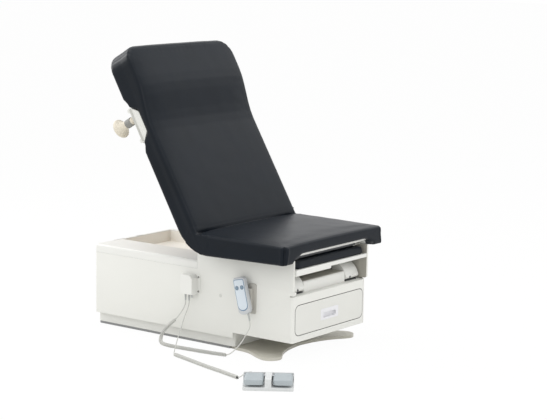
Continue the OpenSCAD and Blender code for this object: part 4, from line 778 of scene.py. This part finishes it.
# The roll knobs
# Each is turned in one with its stem from beige ABS, with a domed back and a plain grey
# rubber sleeve on the stem. The profiles run from the face to the bracket.
sleeve_rubber = moulded("grey_sleeve_rubber", "#8B8B87", 0.6)
knob_rear, knob_along, knob_side = 0.2915, 0.8521, 0.329
knob_axis = Vector((math.sin(lean), 0, math.cos(lean)))
knob_profile = [(0, 0.0), (0.018, 0.0), (0.033, 0.0015), (0.0395, 0.005), (0.0418, 0.010), (0.0405, 0.0145),
    (0.036, 0.0185), (0.0285, 0.025), (0.0225, 0.033), (0.0185, 0.043), (0.0165, 0.054), (0.016, 0.07),
    (0.016, 0.1), (0, 0.1)]
sleeve_profile = [(0.0155, 0.052), (0.0185, 0.053), (0.019, 0.056), (0.0188, 0.083), (0.018, 0.085),
    (0.0155, 0.085)]
for tag, side in both_sides:
    start = Vector((knob_rear * math.sin(lean) - knob_along * math.cos(lean), side * knob_side,
        knob_rear * math.cos(lean) + knob_along * math.sin(lean)))
    knob = turned(f"hand_knob_{tag}", knob_profile, start, knob_axis, beige_abs, sides=48)
    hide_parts(f"roll_knob_{tag}")
    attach(knob, f"knob_{tag}")
    sleeve = turned(f"knob_sleeve_{tag}", sleeve_profile, start, knob_axis, sleeve_rubber, sides=32)
    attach(sleeve, f"knob_{tag}")

# The drawer
# A moulded front with big round corners, a recessed pull plate and a tray behind it. The front's edges are
# painted black as painted shadow in the gap round it.
drawer_abs = moulded("drawer_abs", "#DFDFDA", 0.5)
pull_half = 0.07
dress(drawer_abs, "drawer_front", "drawer_tray", edge=0.001)
lined("drawer_front", painted_gap_shade, lambda face: abs(face.normal.x) < 0.3 and abs(face.center.y) > pull_half)
handle_abs = moulded("handle_abs", "#E6E6E9", 0.35)
dress(handle_abs, "drawer_handle", edge=0.0015)

# The seat board
# A white moulded shell under the seat's foam. Its front edge shows as a narrow strip between
# the upholstery and the leg rest's pad.
strip_low, cut_rear, cut_side, cut_low, cut_past = 0.4375, 0.69, 0.26, 0.4, 0.01
board_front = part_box("seat_board")[1][0]
lip_cutter = prism("lip_cutter", rectangle(cut_rear, board_front + cut_past, -cut_side, cut_side), cut_low,
    strip_low)
seat_shell = trimmed("seat_shell", "seat_board", lip_cutter, white_abs, edge=0.0008)
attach(seat_shell, "upper")

# The leg rest
# A moulded white pan that slides out from under the seat. Its near half hangs lower, as a
# shallow belly that a hand can pull on.
pan_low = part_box("leg_pan")[0][2]
belly_end, belly_rear, belly_front, belly_side, belly_drop, cut_past = -0.01, 0.24, 0.72, 0.26, 0.0115, 0.01
belly_cutter = prism("belly_cutter", rectangle(belly_rear, belly_front, belly_end, belly_side),
    pan_low - cut_past, pan_low + belly_drop)
leg_tray = trimmed("leg_rest_tray", "leg_pan", belly_cutter, white_abs, edge=0.002)
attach(leg_tray, "leg_rest")

# The stirrup cover
# A white moulding with a rounded front edge, fixed between the stirrups. Its top, under the pan, is painted
# grey as painted shade.
(cover_x0, cover_y0, cover_z0), (cover_x1, cover_y1, _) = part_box("stirrup_cover")
cover_z1, lip, rear_fall, near_inset, far_inset = 0.3145, 0.012, 0.003, 0.001, 0.003
cover_outline = [(cover_x0, cover_z0), (cover_x1, cover_z0), (cover_x1, cover_z1 - lip),
    (cover_x1 - 0.2 * lip, cover_z1 - 0.35 * lip), (cover_x1 - 0.6 * lip, cover_z1),
    (cover_x0, cover_z1 - rear_fall)]
cover_shell = bar("stirrup_cover_shell", cover_outline, cover_y0 + near_inset, cover_y1 - far_inset,
    white_abs, edge=0.0015)
# Faces that look up take the painted shade
cover_shell.data.materials.append(painted_shade_grey)
for face in cover_shell.data.polygons:
    face.material_index = int(face.normal.z > 0.8)
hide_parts("stirrup_cover")
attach(cover_shell, "upper")

# The stirrup shade strips
# Black strips laid on the ledge, one under each stowed heel cup: painted shade in the recess there.
shade_strip_y0, shade_strip_y1, shade_strip_low, shade_strip_high = 0.152, 0.232, 0.268, 0.2735
shade_strip_front, shade_strip_taper = 0.664, 0.002
shade_strip_outline = [(cover_x0, shade_strip_low), (shade_strip_front, shade_strip_low),
    (shade_strip_front - shade_strip_taper, shade_strip_high), (cover_x0, shade_strip_high)]
for tag, side in both_sides:
    y0, y1 = sorted((side * shade_strip_y0, side * shade_strip_y1))
    shade_strip = bar(f"cup_shade_strip_{tag}", shade_strip_outline, y0, y1, painted_gap_shade, edge=0.001)
    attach(shade_strip, "upper")

# The heel cups
# Moulded shells on the square steel arms, each held by a domed screw. They are widened from
# their inner side to the width that they have in the photograph.
screw_head = [(0, 0.0004), (0.0012, 0.0006), (0.0016, 0.0012), (0.0036, 0.0011), (0.0046, 0.0004),
    (0.0048, -0.001), (0, -0.001)]
cup_inner, cup_outer, cup_reach = 0.1495, 0.2245, 0.2395
screw_side, screw_shift, screw_high, screw_way = 0.186, -0.007, 0.2848, (1, 0, 0.05)
for tag, side in both_sides:
    cup = trimmed(f"stirrup_cup_{tag}", f"heel_cup_{tag}", None, white_abs, edge=0.0015,
        widen=(side * cup_inner, (cup_reach - cup_inner) / (cup_outer - cup_inner)))
    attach(cup, f"stirrup_{tag}")
    screw_place = (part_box(f"heel_cup_{tag}")[1][0], side * screw_side + screw_shift, screw_high)
    screw = turned(f"stirrup_screw_{tag}", screw_head, screw_place, screw_way, dark_enamel_and_shade)
    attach(screw, f"stirrup_{tag}")

# The cable box
# A white ABS box with grey rubber strain reliefs below, screwed to the near side panel by two
# ears. A round plug closes a hole in the panel beside it.
dress(white_abs, "cable_box", edge=0.002)
relief_rubber = moulded("grey_rubber", "#B4B6B5", 0.6)
dress(relief_rubber, "strain_reliefs", "handset_relief")
ear_screw = [(0, -0.001), (0.0014, -0.001), (0.0018, 0.0), (0.0036, 0.0), (0.0042, -0.0008), (0.0042, -0.004),
    (0, -0.004)]
panel_face, ear_thickness, ear_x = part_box("side_panel_near")[0][1], 0.0052, 0.2035
for tag, z in (("upper", 0.28775), ("lower", 0.22625)):
    screw = turned(f"cable_box_screw_{tag}", ear_screw, (ear_x, panel_face - ear_thickness, z), (0, -1, 0),
        sleeve_rubber)
    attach(screw, "upper")
plug_abs = moulded("plug_abs", "#D2D2CD", 0.5)
plug_profile = [(0, 0.0006), (0.0062, 0.0007), (0.0076, 0.0002), (0.0076, -0.001), (0, -0.001)]
plug_place = (0.3203, -0.2601, 0.2254)
panel_plug = turned("panel_plug", plug_profile, plug_place, (0, -1, 0), plug_abs)
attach(panel_plug, "upper")

# The handset and its hook
# A grey ABS shell with a round lower end, hung on a painted steel hook. A pale blue keypad
# film with a blue border is stuck in its front, over two rubber buttons with raised rings.
hook_paint = powder_coat("grey_hook_paint", "#BAB8B1", 0.5)
dress(hook_paint, "handset_hook", edge=0.0015)
handset_abs = moulded("handset_abs", "#C3C6C9", 0.35)
handset_mid, handset_lean = (0.46, -0.278, 0.249), math.radians(-14)
handset_place = Matrix.Translation(handset_mid) @ Matrix.Rotation(handset_lean, 4, "Y")
shell_half, shell_long_half, cut_front, cut_rear = 0.03, 0.0775, -0.03, 0.01
shell_outline = rounded(-shell_half, shell_half, -shell_long_half, shell_long_half, 0.027, 0.012)
body_cutter = bar("handset_outline", shell_outline, cut_front, cut_rear, place=handset_place)
handset = trimmed("handset_shell", "handset_body", body_cutter, handset_abs, edge=0.002, keep_inside=True)
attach(handset, "upper")
keypad = moulded("keypad_film", "#D3DCE4", 0.3)
keypad_line = moulded("keypad_line", "#5F7F9C", 0.4)
film_rear, border_front, film_front = -0.0215, -0.0226, -0.0235
border_half, border_low, border_high = 0.0262, -0.0615, 0.0695
film_half, film_low, film_high = 0.0238, -0.0575, 0.0672
border_outline = rounded(-border_half, border_half, border_low, border_high, 0.0235, 0.009)
film_outline = rounded(-film_half, film_half, film_low, film_high, 0.021, 0.0075)
border = bar("keypad_border", border_outline, border_front, film_rear, keypad_line, edge=0.0003,
    place=handset_place)
film = bar("keypad_plate", film_outline, film_front, film_rear, keypad, edge=0.0005, place=handset_place)
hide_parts("handset_face")
for piece in (border, film):
    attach(piece, "upper")
button_rubber = moulded("button_rubber", "#7C91A2", 0.5)
ring_rubber = moulded("button_ring", "#52677A", 0.5)
dress(button_rubber, "button_up", "button_down", edge=0.001)
ring_profile = [(0.0074, -0.001), (0.0076, 0.0006), (0.0082, 0.001), (0.0088, 0.0006), (0.009, -0.001)]
button_x, button_z = 0.013, 0.035
for tag, side in (("up", -1), ("down", 1)):
    ring_place = handset_place @ Vector((side * button_x, film_front, button_z))
    ring = turned(f"button_ring_{tag}", ring_profile, ring_place, (0, -1, 0), ring_rubber)
    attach(ring, "upper")

# The foot switch
# A pale moulded base that lies on the floor. A groove runs along each side of the rib between
# its pedals.
switch_abs = moulded("switch_abs", "#D6D8D8", 0.45)
switch_turn, switch_place = math.radians(35.6), Vector((0.85, -0.622, 0))
at_switch = Matrix.Translation(switch_place) @ Matrix.Rotation(switch_turn, 4, "Z")
groove_in, groove_out, groove_front, groove_rear = 0.0125, 0.0175, -0.062, 0.05
groove_low, groove_high = 0.0135, 0.05
grooves = prism("rib_grooves", rectangle(groove_in, groove_out, groove_front, groove_rear), groove_low,
    groove_high)
other = prism("rib_groove_other", rectangle(-groove_out, -groove_in, groove_front, groove_rear), groove_low,
    groove_high)
form = bmesh.new()
form.from_mesh(grooves.data)
form.from_mesh(other.data)
form.to_mesh(grooves.data)
form.free()
bpy.data.objects.remove(other)
grooves.data.transform(at_switch)
switch = trimmed("foot_switch_base", "switch_base", grooves, switch_abs, edge=0.0015)
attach(switch, "base")

# The pedals
# Blue-grey rubber mouldings on the switch's hinge pin. Their corners are rounded as seen from
# above and as seen from the front.
pedal_rubber = moulded("pedal_rubber", "#A9B1B5", 0.5)
pedal_x, pedal_half, corner, low_corner, high_corner = 0.056, 0.038, 0.016, 0.007, 0.011
pedal_front, pedal_rear, pedal_low, pedal_high = -0.0585, 0.055, 0.0215, 0.0425
cut_high, cut_side = 0.08, 0.07
for name, node, side, body in (("up_pedal_pad", "pedal_up", -1, "up_pedal"),
        ("down_pedal_pad", "pedal_down", 1, "down_pedal")):
    x0, x1 = side * pedal_x - pedal_half, side * pedal_x + pedal_half
    plan = rounded(x0, x1, pedal_front, pedal_rear, corner, corner)
    pad_cutter = prism(name + "_outline", plan, 0.0, cut_high)
    front_form = bar(name + "_front", rounded(x0, x1, pedal_low, pedal_high, low_corner, high_corner),
        -cut_side, cut_side)
    front = pad_cutter.modifiers.new("front", "BOOLEAN")
    front.operation, front.solver, front.object = "INTERSECT", "EXACT", front_form
    settle(pad_cutter)
    bpy.data.objects.remove(front_form)
    pad_cutter.data.transform(at_switch)
    pedal = trimmed(name, node, pad_cutter, pedal_rubber, edge=0.0045, keep_inside=True)
    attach(pedal, body)

scene.view_settings.view_transform = "Standard"
